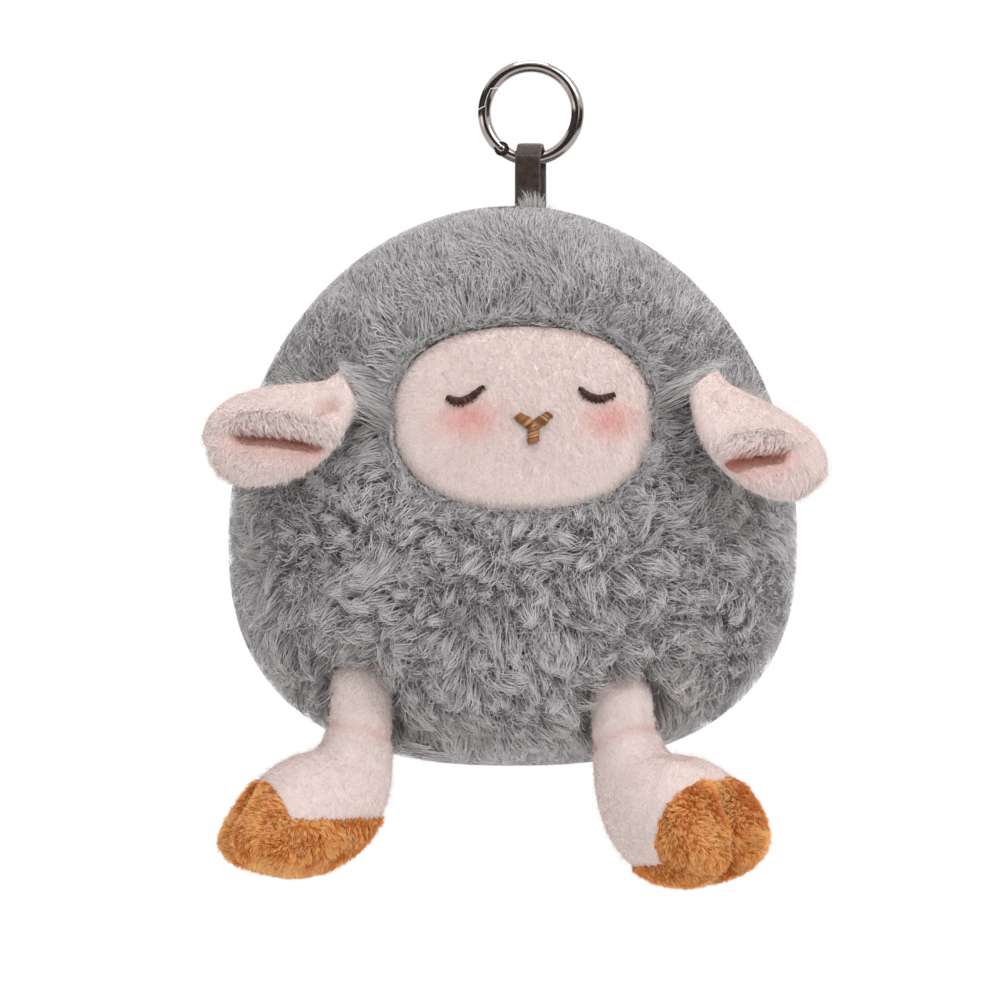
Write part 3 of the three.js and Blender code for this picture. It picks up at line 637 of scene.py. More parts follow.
@dataclass
class Skin:
    """A surface in millimetres, with numbers marked on its points."""

    points: Array
    faces: list[tuple[int, ...]]
    marks: dict[str, Array] = field(default_factory=dict)

    def triangles(self) -> Array:
        """The faces split into triangles."""
        return np.array([
            (face[0], *pair) for face in self.faces for pair in zip(face[1:], face[2:])
        ])

    def corners(self) -> Array:
        """The three corners of each triangle, one row of points for each corner."""
        return self.points[self.triangles().T]

    def normals(self) -> Array:
        """The outward normal at each point.

        Returns:
            One row for each point, from the faces round it by their area.
        """
        first, second, third = self.corners()
        area = np.cross(second - first, third - first)
        total = np.zeros_like(self.points)
        for corner in self.triangles().T:
            np.add.at(total, corner, area)
        return unit(total)

    def flipped(self) -> "Skin":
        """This skin with its faces turned over."""
        return replace(self, faces=[face[::-1] for face in self.faces])

    def facing_out(self) -> "Skin":
        """This closed skin with its faces turned to point out."""
        first, second, third = self.corners()
        return self.flipped() if np.sum(first * np.cross(second, third)) < 0 else self

    def moved(self, change: Callable[[Array], Array]) -> "Skin":
        """This skin with its points changed by a function."""
        return replace(self, points=change(self.points))

    def inset(self, depth: Union[float, Array]) -> "Skin":
        """This skin moved inwards along its normals."""
        return replace(self, points=self.points - self.normals() * np.reshape(depth, (-1, 1)))

    def part(self, keep: Array) -> "Skin":
        """The faces whose points are all kept by a mask, with only their points."""
        return self._with([face for face in self.faces if all(keep[point] for point in face)])

    def split_at(self, mark: str) -> tuple["Skin", "Skin"]:
        """The faces whose points don't all carry a mark, and those whose points do.

        Args:
            mark: The mark's name.

        Returns:
            The two parts.
        """
        inner = self.marks[mark] > 0.5
        groups: tuple[list, list] = ([], [])
        for face in self.faces:
            groups[all(inner[point] for point in face)].append(face)
        return tuple(self._with(faces) for faces in groups)

    def _with(self, faces: list[tuple[int, ...]]) -> "Skin":
        """Some of this skin's faces, with only the points that they use.

        Args:
            faces: The faces to keep.

        Returns:
            The part.
        """
        used = sorted({point for face in faces for point in face})
        order = {point: place for place, point in enumerate(used)}
        faces = [tuple(order[point] for point in face) for face in faces]
        return Skin(self.points[used], faces, kept_marks(self.marks, used))

    def scatter(self, count: int, rng: Random) -> Roots:
        """Places spread evenly over the skin.

        Args:
            count: How many places.
            rng: The seeded source of random numbers.

        Returns:
            The places, with normals and marks between those of the points around them.
        """
        triangles = self.triangles()
        corners = self.points[triangles]
        edges = corners[:, 1:] - corners[:, :1]
        area = np.linalg.norm(np.cross(edges[:, 0], edges[:, 1]), axis=1)
        picked = triangles[rng.choice(len(triangles), count, p=area / area.sum())]
        root = np.sqrt(rng.random(count))
        split = rng.random(count)
        weights = np.stack([1 - root, root * (1 - split), root * split], axis=1)

        def between(values: Array) -> Array:
            """Values at the places, from the values at the points."""
            return np.einsum("nc,nc...->n...", weights, values[picked])

        marks = {name: between(values) for name, values in self.marks.items()}
        return Roots(between(self.points), unit(between(self.normals())), marks)


def ringed_skin(rings: Array, start: Optional[Array] = None, end: Optional[Array] = None) -> Skin:
    """A skin over closed rings of points, with a pole at each end that has one.

    Args:
        rings: Points by ring, side and axis.
        start: The pole before the first ring.
        end: The pole after the last ring.

    Returns:
        The skin; its points keep the order of the rings.
    """
    total = rings.shape[0] * rings.shape[1]
    here = np.arange(total).reshape(rings.shape[:2])
    after = np.roll(here, -1, axis=1)
    quads = points_of(here[:-1], after[:-1], after[1:], here[1:]).reshape(-1, 4)
    faces = [tuple(face) for face in quads.tolist()]
    points = [rings.reshape(-1, 3)]
    for pole, row, order in ((start, 0, 1), (end, -1, -1)):
        if pole is not None:
            fan = points_of(after[row], here[row], total)[:, ::order]
            faces += [tuple(face) for face in fan.tolist()]
            points.append(np.reshape(pole, (1, 3)))
            total += 1
    return Skin(np.concatenate(points), faces)


# Strands


@dataclass(frozen=True)
class Pile:
    """How one coat of strands grows. Lengths are millimetres and angles degrees."""

    count: int
    length: float
    width: float
    segments: int = 2
    spread: float = 0.25
    root_lean: float = 25.0
    tip_lean: float = 70.0
    stray: float = 14.0
    curl: float = 0.15
    droop: float = 0.0
    wave: float = 0.0
    twist: float = 35.0
    calm_lean: float = 84.0
    tilt: float = 0.3125


@dataclass(frozen=True)
class Tuft:
    """How strands gather: how many share a tuft, how strongly, and how late along them."""

    members: int
    pull: float
    shape: float = 1.4


@dataclass
class Strands:
    """Ribbon strands as paths, with a width, a normal and marks for each."""

    paths: Array
    normals: Array
    widths: Array
    twists: Array
    marks: dict[str, Array]

    @classmethod
    def grown(cls, roots: Roots, flow: Array, pile: Pile, rng: Random) -> "Strands":
        """Grows one strand from each root.

        Args:
            roots: Where the strands start. A "length" mark scales their length.
            flow: The way the pile is brushed at each root, along the surface.
            pile: How the strands grow.
            rng: The seeded source of random numbers.

        Returns:
            The strands, each with a tone of its own.
        """
        count = len(roots.points)
        scale = roots.marks.get("length", np.ones(count))
        length = pile.length * scale * (1 + pile.spread * rng.uniform(-1, 1, count))
        across = np.cross(roots.normals, flow)
        calm = roots.marks.get("calm", np.zeros(count))[:, None]
        lively = 1 - 0.5 * calm
        stray = np.radians(pile.stray) * lively * rng.normal(size=(count, 1))
        heading = flow * np.cos(stray) + across * np.sin(stray)
        sideways = np.cross(roots.normals, heading)
        bend = pile.curl * lively * rng.normal(size=(count, 1))
        tilt = rng.normal(size=(count, 1)) * lively * math.radians(pile.stray) * pile.tilt
        paths = np.empty((count, pile.segments + 1, 3))
        paths[:, 0] = roots.points
        for step in range(pile.segments):
            share = (step + 0.5) / pile.segments
            lean = math.radians(pile.root_lean + (pile.tip_lean - pile.root_lean) * share) + tilt
            lean = lean + (math.radians(pile.calm_lean) - lean) * 0.2 * calm
            way = roots.normals * np.cos(lean) + heading * np.sin(lean)
            way = unit(way + sideways * bend * share - UP * pile.droop * share)
            if pile.wave:
                way = unit(way + pile.wave * share * lively * rng.normal(size=(count, 3)))
            paths[:, step + 1] = paths[:, step] + way * (length / pile.segments)[:, None]
        widths = pile.width * rng.uniform(0.7, 1.3, count)
        twists = np.radians(pile.twist) * rng.normal(size=count)
        tone = np.clip(0.5 + 0.2 * rng.normal(size=count), 0, 1)
        return cls(paths, roots.normals, widths, twists, {**roots.marks, "tone": tone})

    def tufted(
        self, tuft: Tuft, rng: Random, strength: Union[float, Array] = 1.0
    ) -> "Strands":
        """Gathers the strands into tufts.

        Args:
            tuft: How they gather.
            rng: The seeded source of random numbers.
            strength: A share of the pull for each strand.

        Returns:
            The strands, with their tips drawn towards those of nearby strands and a tone that
            they share with their tuft.
        """
        count, levels = self.paths.shape[:2]
        strength = np.reshape(strength, (-1, 1, 1))
        leaders = rng.choice(count, max(count // tuft.members, 1), replace=False)
        tree = KDTree(len(leaders))
        for place, leader in enumerate(leaders):
            tree.insert(self.paths[leader, 0], place)
        tree.balance()
        owner = np.array([tree.find(root)[1] for root in self.paths[:, 0]])
        share = np.linspace(0, 1, levels)[None, :, None] ** tuft.shape
        led = self.paths[leaders][owner]
        paths = self.paths + (led - self.paths) * (tuft.pull * share * strength)
        tuft_tone = rng.normal(size=len(leaders))[owner] * 0.1 * tuft.pull
        marks = {**self.marks, "tone": np.clip(self.marks["tone"] + tuft_tone, 0, 1)}
        return replace(self, paths=paths, marks=marks)

    def rows(self) -> tuple[Array, Array, Array, Array]:
        """What each strand has apart from its marks."""
        return self.paths, self.normals, self.widths, self.twists

    def chosen(self, keep: Array) -> "Strands":
        """Only the strands that a mask or list keeps."""
        return Strands(*(row[keep] for row in self.rows()), kept_marks(self.marks, keep))

    def corners(self) -> Array:
        """Each ribbon's corners from root to tip: two at each level and one at the tip.

        Returns:
            The corners by strand, place and axis.
        """
        count, levels = self.paths.shape[:2]
        way = unit(np.diff(self.paths, axis=1))
        side = unit(np.cross(way, self.normals[:, None, :]))
        lift = np.cross(side, way)
        twist = self.twists[:, None, None]
        side = side * np.cos(twist) + lift * np.sin(twist)
        place = np.linspace(0, 1, levels)[:-1]
        taper = (1 - place**2.2)[None, :, None]
        half = side * taper * self.widths[:, None, None] / 2
        pairs = np.stack([self.paths[:, :-1] - half, self.paths[:, :-1] + half], axis=2)
        return np.concatenate([pairs.reshape(count, -1, 3), self.paths[:, -1:]], axis=1)


def arched_strands(
    starts: Array, middles: Array, ends: Array, normals: Array, pile: Pile, rng: Random
) -> Strands:
    """Strands along arches, each pulled towards its middle point.

    Args:
        starts: Where the strands start.
        middles: The points that they bend towards.
        ends: Where they end.
        normals: The way out of the surface that they lie on.
        pile: Their width, wave and twist.
        rng: The seeded source of random numbers.

    Returns:
        The strands, each with a tone of its own.
    """
    count = len(starts)
    share = np.linspace(0, 1, pile.segments + 1)[None, :, None]
    paths = starts[:, None] * (1 - share) ** 2 + ends[:, None] * share**2
    paths = paths + 2 * middles[:, None] * share * (1 - share)
    paths = paths + pile.wave * share * rng.normal(size=paths.shape)
    return Strands(
        paths,
        normals,
        pile.width * rng.uniform(0.7, 1.3, count),
        np.radians(pile.twist) * rng.normal(size=count),
        {"tone": np.clip(0.46 + 0.2 * rng.normal(size=count), 0, 1)},
    )


def strands_joined(groups: Sequence[Strands]) -> Strands:
    """Several coats of strands, with as many levels each, as one."""
    rows = zip(*(group.rows() for group in groups))
    return Strands(*(np.concatenate(row) for row in rows), marks_joined(groups))


# Pieces


def add_object(name: str, mesh: bpy.types.Mesh, finish: Finish) -> bpy.types.Object:
    """An object of a mesh in the scene, with its finish.

    Args:
        name: The object's name.
        mesh: Its mesh in metres.
        finish: Its finish.

    Returns:
        The object.
    """
    mesh.materials.append(finish.material())
    made = bpy.data.objects.new(name, mesh)
    bpy.context.scene.collection.objects.link(made)
    return made


def set_marks(mesh: bpy.types.Mesh, marks: dict[str, Array]) -> None:
    """Keeps numbers on a mesh's points, where its material reads them."""
    for name, values in marks.items():
        layer = mesh.attributes.new(name, "FLOAT", "POINT")
        layer.data.foreach_set("value", np.ascontiguousarray(values, np.float32))


def skin_piece(name: str, skin: Skin, finish: Finish, thickness: float = 0.0) -> bpy.types.Object:
    """A piece of a skin.

    Args:
        name: The piece's name.
        skin: Its surface in millimetres.
        finish: Its finish.
        thickness: How far the cloth goes inwards, or 0 for a closed skin.

    Returns:
        The piece's object.
    """
    mesh = bpy.data.meshes.new(name)
    mesh.from_pydata((skin.points * MM).tolist(), [], skin.faces)
    mesh.polygons.foreach_set("use_smooth", np.ones(len(mesh.polygons), bool))
    set_marks(mesh, skin.marks)
    made = add_object(name, mesh, finish)
    if thickness:
        cloth = made.modifiers.new("cloth", "SOLIDIFY")
        cloth.thickness = thickness * MM
        cloth.offset = -1.0
    return made


def strand_piece(name: str, strands: Strands, finish: Finish) -> bpy.types.Object:
    """A piece of ribbon strands, each with its own patch of its UV map.

    Args:
        name: The piece's name.
        strands: Its strands in millimetres.
        finish: Its finish.

    Returns:
        The piece's object.
    """
    corners = strands.corners()
    count, size = corners.shape[:2]
    steps = (size - 1) // 2
    pattern = []
    for step in range(steps - 1):
        low = 2 * step
        pattern += [(low, low + 1, low + 3), (low, low + 3, low + 2)]
    pattern.append((size - 3, size - 2, size - 1))
    triangles = np.array(pattern)[None] + (np.arange(count) * size)[:, None, None]
    triangles = triangles.reshape(-1, 3)
    mesh = bpy.data.meshes.new(name)
    mesh.vertices.add(count * size)
    mesh.vertices.foreach_set("co", (corners * MM).astype(np.float32).ravel())
    mesh.loops.add(triangles.size)
    mesh.loops.foreach_set("vertex_index", triangles.ravel().astype(np.int32))
    mesh.polygons.add(len(triangles))
    mesh.polygons.foreach_set("loop_start", np.arange(0, triangles.size, 3, dtype=np.int32))
    mesh.polygons.foreach_set("use_smooth", np.ones(len(triangles), bool))
    mesh.update(calc_edges=True)
    place = np.append(np.repeat(np.arange(steps), 2), steps) / steps
    across = np.append(np.tile([0.0, 1.0], steps), 0.5)
    patch = np.stack([0.1 + 0.8 * across, 0.1 + 0.8 * place], axis=1)
    cells = math.ceil(math.sqrt(count))
    order = np.arange(count)
    corner = np.stack([order % cells, order // cells], axis=1)
    spots = ((corner[:, None] + patch[None]) / cells).reshape(-1, 2)
    layer = mesh.uv_layers.new(name=BAKE_MAP)
    layer.data.foreach_set("uv", spots[triangles.ravel()].astype(np.float32).ravel())
    marks = {key: np.repeat(values, size) for key, values in strands.marks.items()}
    marks["along"] = np.tile(place, count)
    set_marks(mesh, marks)
    return add_object(name, mesh, finish)


def settle(piece: bpy.types.Object, body: str, slot: str, *nodes: str) -> bpy.types.Object:
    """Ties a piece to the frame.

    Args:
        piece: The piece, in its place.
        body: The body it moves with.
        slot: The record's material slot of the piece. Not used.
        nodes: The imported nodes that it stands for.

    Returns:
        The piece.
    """
    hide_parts(*nodes)
    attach(piece, body)
    log.info("%s: %d faces on %s", piece.name, len(piece.data.polygons), body)
    return piece


def joint_of(name: str) -> dict:
    """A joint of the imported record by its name."""
    return next(joint for joint in frame["joints"] if joint["name"] == name)


def joint_place(name: str) -> Array:
    """A joint's place in millimetres."""
    return np.array(joint_of(name)["pos_m"]) / MM


# The body and its fur


@dataclass(frozen=True)
class BodyForm:
    """The outline of the stuffed body: an ellipsoid above its widest level, fuller below it."""

    offset: float = -4.3
    half_width: float = 66.6
    front_depth: float = 50.0
    back_depth: float = 54.0
    crown_height: float = 78.0
    base_height: float = 53.1
    base_power: float = 2.5
    level: float = -110.0

    def reach(self, points: Array, inset: float = 0.0) -> Array:
        """How far out points lie, where 1 is on the form less an inset all round.

        Args:
            points: Places in millimetres.
            inset: How far in the form is moved.

        Returns:
            One value for each point.
        """
        depth = np.where(points[..., 1] < 0, self.front_depth, self.back_depth) - inset
        around = np.hypot(
            (points[..., 0] - self.offset) / (self.half_width - inset), points[..., 1] / depth
        )
        rise = points[..., 2] - self.level
        upper = np.hypot(around, rise / (self.crown_height - inset))
        power = self.base_power
        drop = np.abs(rise) / (self.base_height - inset)
        lower = (around**power + drop**power) ** (1 / power)
        return np.where(rise >= 0, upper, lower)

    def centre(self) -> Array:
        """The middle of the widest level."""
        return np.array([self.offset, 0.0, self.level])

    def skin(self, inset: float, rings: int, sides: int) -> Skin:
        """The closed skin of the form less an inset all round.

        Args:
            inset: How far in the form is moved.
            rings: Rings from pole to pole.
            sides: Points round each ring.

        Returns:
            The skin.
        """
        tilt = np.linspace(0, math.pi, rings + 2)[1:-1, None]
        turn = circle(sides)
        ways = points_of(np.sin(tilt) * np.cos(turn), np.sin(tilt) * np.sin(turn), np.cos(tilt))
        scale = np.array([self.half_width, self.back_depth, self.crown_height])
        rays = ways * scale
        points = self.centre() + rays / self.reach(self.centre() + rays, inset)[..., None]
        top = self.centre() + UP * (self.crown_height - inset)
        bottom = self.centre() - UP * (self.base_height - inset)
        return ringed_skin(points, top, bottom).facing_out()

    def front(self, x: Array, z: Array, inset: float) -> Array:
        """The depth (Y) of the front surface less an inset, at places across and up.

        Args:
            x: Places across.
            z: Places up.
            inset: How far in the form is moved.

        Returns:
            The Y of each place.
        """
        rise = z - self.level
        crown = self.crown_height - inset
        base = self.base_height - inset
        power = self.base_power
        upper = np.sqrt(np.clip(1 - (rise / crown) ** 2, 0, 1))
        drop = np.clip(np.abs(rise) / base, 0, 1)
        lower = (1 - drop**power) ** (1 / power)
        share = np.where(rise >= 0, upper, lower)
        side = (x - self.offset) / np.maximum((self.half_width - inset) * share, TINY)
        return -(self.front_depth - inset) * share * np.sqrt(np.clip(1 - side**2, 0, 1))


@dataclass(frozen=True)
class FaceForm:
    """The face's oval, let into the front of the body."""

    middle: tuple[float, float] = (-1.9, -81.8)
    half: tuple[float, float] = (29.9, 21.2)
    power: float = 2.4

    def measure(self, points: Array) -> Array:
        """How far out points lie from the face's middle, where 1 is on its edge."""
        share = np.abs(points[..., [0, 2]] - self.middle) / self.half
        return np.sum(share**self.power, axis=-1) ** (1 / self.power)

    def edge(self, turn: Array) -> Array:
        """Places on the edge across and up, from the middle and for half sizes of 1."""
        return signed_power(points_of(np.cos(turn), np.sin(turn)), 2 / self.power)


@dataclass(frozen=True)
class LegPlace:
    """Where one leg hangs: its hip, its splay and how far its toes turn out."""

    side: Side
    splay: float
    toe_out: float
    fringe: float
    radius: float = 8.4

    def hip(self) -> Array:
        """The hip's place in millimetres."""
        return joint_place(f"{self.side.word}_hip")

    def frame(self) -> Matrix:
        """The foot's frame: -Y towards the toes and +Z up the leg."""
        splay = Matrix.Rotation(-self.side.value * math.radians(self.splay), 4, "Y")
        turn = Matrix.Rotation(self.side.value * math.radians(self.toe_out), 4, "Z")
        return Matrix.Translation(Vector(self.hip())) @ splay @ turn

    def clear(self, points: Array, gap: float, backwards: bool) -> Array:
        """Moves points out of the leg's tube.

        Args:
            points: Places in millimetres.
            gap: The room to leave round the leg.
            backwards: Whether they go behind the leg, as the body does, or in front.

        Returns:
            The places, with those inside the tube moved along Y.
        """
        hip = self.hip()
        lean = math.tan(math.radians(self.splay)) * self.side.value
        drop = hip[2] - points[..., 2]
        middle = hip[0] + np.clip(drop, 0, None) * lean
        above = np.clip(-drop, 0, None)
        room = (self.radius + gap) ** 2 - (points[..., 0] - middle) ** 2 - above**2
        reach = np.sqrt(np.clip(room, 0, None))
        y = points[..., 1]
        edge = hip[1] + (reach if backwards else -reach)
        near = (y < edge) & (y < 0) if backwards else np.abs(y - hip[1]) < reach
        out = points.copy()
        out[..., 1] = np.where((room > 0) & near, edge, y)
        return out


@dataclass
class FurBody:
    """The round body: stuffing, two backing panels and the long grey fur on them."""

    form: BodyForm
    face: FaceForm
    legs: Sequence[LegPlace]
    backing_depth: float = 5.5
    panel_gap: float = 0.3
    cloth: float = 0.8
    under: Pile = Pile(
        count=104000, length=9.2, width=0.27, segments=4, spread=0.3, root_lean=12.0,
        tip_lean=60.0, stray=44.0, curl=0.5, droop=0.06, wave=0.22,
    )
    guard: Pile = Pile(
        count=60000, length=11.0, width=0.12, segments=4, spread=0.35, root_lean=10.0,
        tip_lean=58.0, stray=90.0, curl=0.9, droop=0.06, wave=0.6,
    )
    small_tuft: Tuft = Tuft(members=24, pull=0.78, shape=1.25)
    large_tuft: Tuft = Tuft(members=170, pull=0.35, shape=1.4)
    crown_level: float = -52.0
    outline_slack: float = 1.006
    cloth_room: float = 1.0
    fur_room: float = 0.8
    filling_room: float = 0.6
    pocket_limit: float = 0.6
    under_tone: float = 0.76
    guard_tone: tuple[float, float] = (0.85, 0.32)
    guard_looseness: float = 0.2
    panels: tuple = (("front", -1), ("back", 1))
    seed: int = 2026

    def build(self) -> None:
        """Builds the stuffing, the panels and the fur."""
        skin = self.form.skin(self.backing_depth, 90, 140)
        pushed = skin.moved(self._clear_of_legs)
        pushed.marks["pocket"] = np.linalg.norm(pushed.points - skin.points, axis=1)
        filling = self.form.skin(self.backing_depth + self.cloth + self.filling_room, 60, 90)
        filling = filling.moved(self._clear_of_legs)
        filling = filling.inset(0.9 + 0.7 * soft_noise(filling.points, seed=5, cell=9.0))
        made = skin_piece("body_filling", filling, STUFFING)
        settle(made, "torso", "stuffing", "body_stuffing")
        for name, sign in self.panels:
            panel = pushed.part(sign * pushed.points[:, 1] > self.panel_gap / 2)
            made = skin_piece(f"body_{name}_cloth", panel, FUR_BACKING, self.cloth)
            settle(made, "torso", "grey_fur", f"body_{name}_panel")
        self._grow(pushed)

    def _clear_of_legs(self, points: Array) -> Array:
        """Points moved back from both legs' tubes."""
        for leg in self.legs:
            points = leg.clear(points, self.cloth_room, True)
        return points

    def _flow(self, roots: Roots) -> Array:
        """The way the fur is brushed: down and outwards, away from the face, in loose swirls.

        Args:
            roots: Where the strands start.

        Returns:
            One way along the surface each.
        """
        points, normals = roots.points, roots.normals
        away = points - self.form.centre()
        outward = away * np.array([1.0, 1.0, 0.0]) / self.form.half_width
        aside = outward * np.array([1.0, 0.4, 0.0])
        rise = eased(points[:, 2:3], self.form.level + 12, self.form.level + 50)
        down = (2 * rise - 1) * UP + aside * (0.3 + 0.9 * rise * (1 - 0.6 * rise))
        near = 0.3 * self._beside_face(points, 9.0)
        from_face = (points - np.insert(self.face.middle, 1, 0.0)) * (1.0, 0.0, 1.35)
        way = along_surface(down, normals) * (1 - near[:, None])
        way = along_surface(way + along_surface(from_face, normals) * 1.6 * near[:, None], normals)
        low = self._low(points)
        angle = (1.3 + 0.7 * low) * soft_noise(points, seed=11, cell=24.0)
        angle = angle + (1.1 + 0.7 * low) * soft_noise(points, seed=12, cell=11.0)
        angle = angle * (1 - 0.25 * self._calm(points))
        return swirled(way, normals, angle[:, None])

    def _low(self, points: Array) -> Array:
        """How far down the body points lie: 1 below its widest level and 0 on the crown."""
        return 1 - eased(points[:, 2], self.form.level - 5, self.form.level + 45)

    def _beside_face(self, points: Array, width: float) -> Array:
        """How near the face's edge points of the front lie."""
        beyond = (self.face.measure(points) - 1) * self.face.half[1]
        return bell(np.clip(beyond, 0, None), width) * (points[:, 1] < -8)

    def _kept(self, roots: Roots) -> Roots:
        """Roots outside the face and away from the legs' pockets."""
        on_face = (self.face.measure(roots.points) < 0.98) & (roots.points[:, 1] < 0)
        return roots.chosen(~on_face & (roots.marks["pocket"] < self.pocket_limit))

    def _coat(self, skin: Skin, pile: Pile, rng: Random) -> Strands:
        """One coat of fur over the whole body.

        Args:
            skin: The backing.
            pile: How the coat grows.
            rng: The seeded source of random numbers.

        Returns:
            The strands.
        """
        roots = self._kept(skin.scatter(pile.count, rng))
        puff = soft_noise(roots.points, seed=21, cell=14.0)
        calm = self._calm(roots.points)
        length = 1 + 0.22 * puff * (1 - 0.5 * calm) + 0.08 * calm
        roots.marks["length"] = length * (1 - 0.42 * self._beside_face(roots.points, 4.5))
        roots.marks["calm"] = calm
        strands = Strands.grown(roots, self._flow(roots), pile, rng)
        strength = (0.6 + 0.4 * self._low(roots.points)) * (1 - 0.45 * calm)
        loose = self.guard_looseness if pile is self.guard else 1.0
        for tuft in (self.small_tuft, self.large_tuft):
            strands = strands.tufted(tuft, rng, strength * loose)
        # The tone is lowered where the fur lies calm on the crown: painted shade that offsets the
        # strong top lamp there.
        lift = 0.19 * puff - 0.27 * calm
        strands.marks["tone"] = np.clip(strands.marks["tone"] + lift, 0, 1)
        return strands

    def _calm(self, points: Array) -> Array:
        """How smoothly the fur lies: combed flat over the crown, and rough below."""
        return eased(points[:, 2], self.crown_level - 14, self.crown_level + 10)

    def _held_in(self, paths: Array) -> Array:
        """Paths kept inside the body's outline, with a little fuzz beyond it."""
        reach, limit = self.form.reach(paths), self.outline_slack
        scale = np.where(reach > limit, limit / np.maximum(reach, TINY), 1.0)[..., None]
        return self.form.centre() + (paths - self.form.centre()) * scale

    def _grow(self, skin: Skin) -> None:
        """Grows the fur and splits it into pieces by panel and side.

        Args:
            skin: The backing, with the depth of the legs' pockets marked.
        """
        rng = np.random.default_rng(self.seed)
        under, guard = (self._coat(skin, pile, rng) for pile in (self.under, self.guard))
        under.marks["tone"] *= self.under_tone
        share, lift = self.guard_tone
        guard.marks["tone"] = np.clip(share * guard.marks["tone"] + lift, 0, 1)
        fur = strands_joined([under, guard])
        for name in ("length", "calm", "pocket"):
            fur.marks.pop(name, None)
        fur.paths = self._held_in(fur.paths)
        for leg in self.legs:
            over = leg.clear(fur.paths, self.fur_room, False)
            moved = np.linalg.norm(over - fur.paths, axis=-1) > TINY
            low = over[..., 2] < leg.hip()[2] + leg.fringe
            fur.paths = over
            fur = fur.chosen(~np.any(moved & low, axis=1))
        for panel, sign in self.panels:
            chosen = np.flatnonzero(sign * fur.paths[:, 0, 1] > 0)
            order = chosen[np.argsort(fur.paths[chosen, 0, 0])]
            for word, part in zip(("left", "middle", "right"), np.array_split(order, 3)):
                name = f"body_{panel}_fur_{word}"
                made = strand_piece(name, fur.chosen(part), GREY_FUR)
                settle(made, "torso", "grey_fur", f"body_{panel}_panel")


# The face


def thread(path: Array, radius: float, sides: int = 7) -> Skin:
    """A round thread along a path, narrowed at both ends.

    Args:
        path: The points it follows.
        radius: Its radius.
        sides: Points round it.

    Returns:
        Its skin, with its place along the path marked.
    """
    way = unit(np.gradient(path, axis=0))
    side = unit(np.cross(way, np.array([0.0, 1.0, 0.3])))
    lift = np.cross(side, way)
    place = np.linspace(0, 1, len(path))
    swell = radius * (1 - 0.45 * (2 * place - 1) ** 4)[:, None, None]
    turn = circle(sides)[:, None]
    ring = side[:, None] * np.cos(turn) + lift[:, None] * np.sin(turn)
    skin = ringed_skin(path[:, None] + ring * swell, path[0], path[-1])
    skin.marks["along"] = np.append(np.repeat(place, sides), [0.0, 1.0])
    return skin


def skins_joined(skins: Sequence[Skin]) -> Skin:
    """Several skins as one, with the marks that all have.

    Args:
        skins: The skins, one after another.

    Returns:
        The one skin.
    """
    faces: list[tuple[int, ...]] = []
    start = 0
    for skin in skins:
        faces += [tuple(point + start for point in face) for face in skin.faces]
        start += len(skin.points)
    return Skin(np.concatenate([skin.points for skin in skins]), faces, marks_joined(skins))


@dataclass(frozen=True)
class Blush:
    """One soft patch of blush: its middle and its reach across and up."""

    x: float
    z: float
    wide: float
    high: float

    def strength(self, points: Array) -> Array:
        """How strong the blush is at points."""
        across = (points[..., 0] - self.x) / self.wide
        rise = (points[..., 2] - self.z) / self.high
        return np.exp(-(across**2 + rise**2))


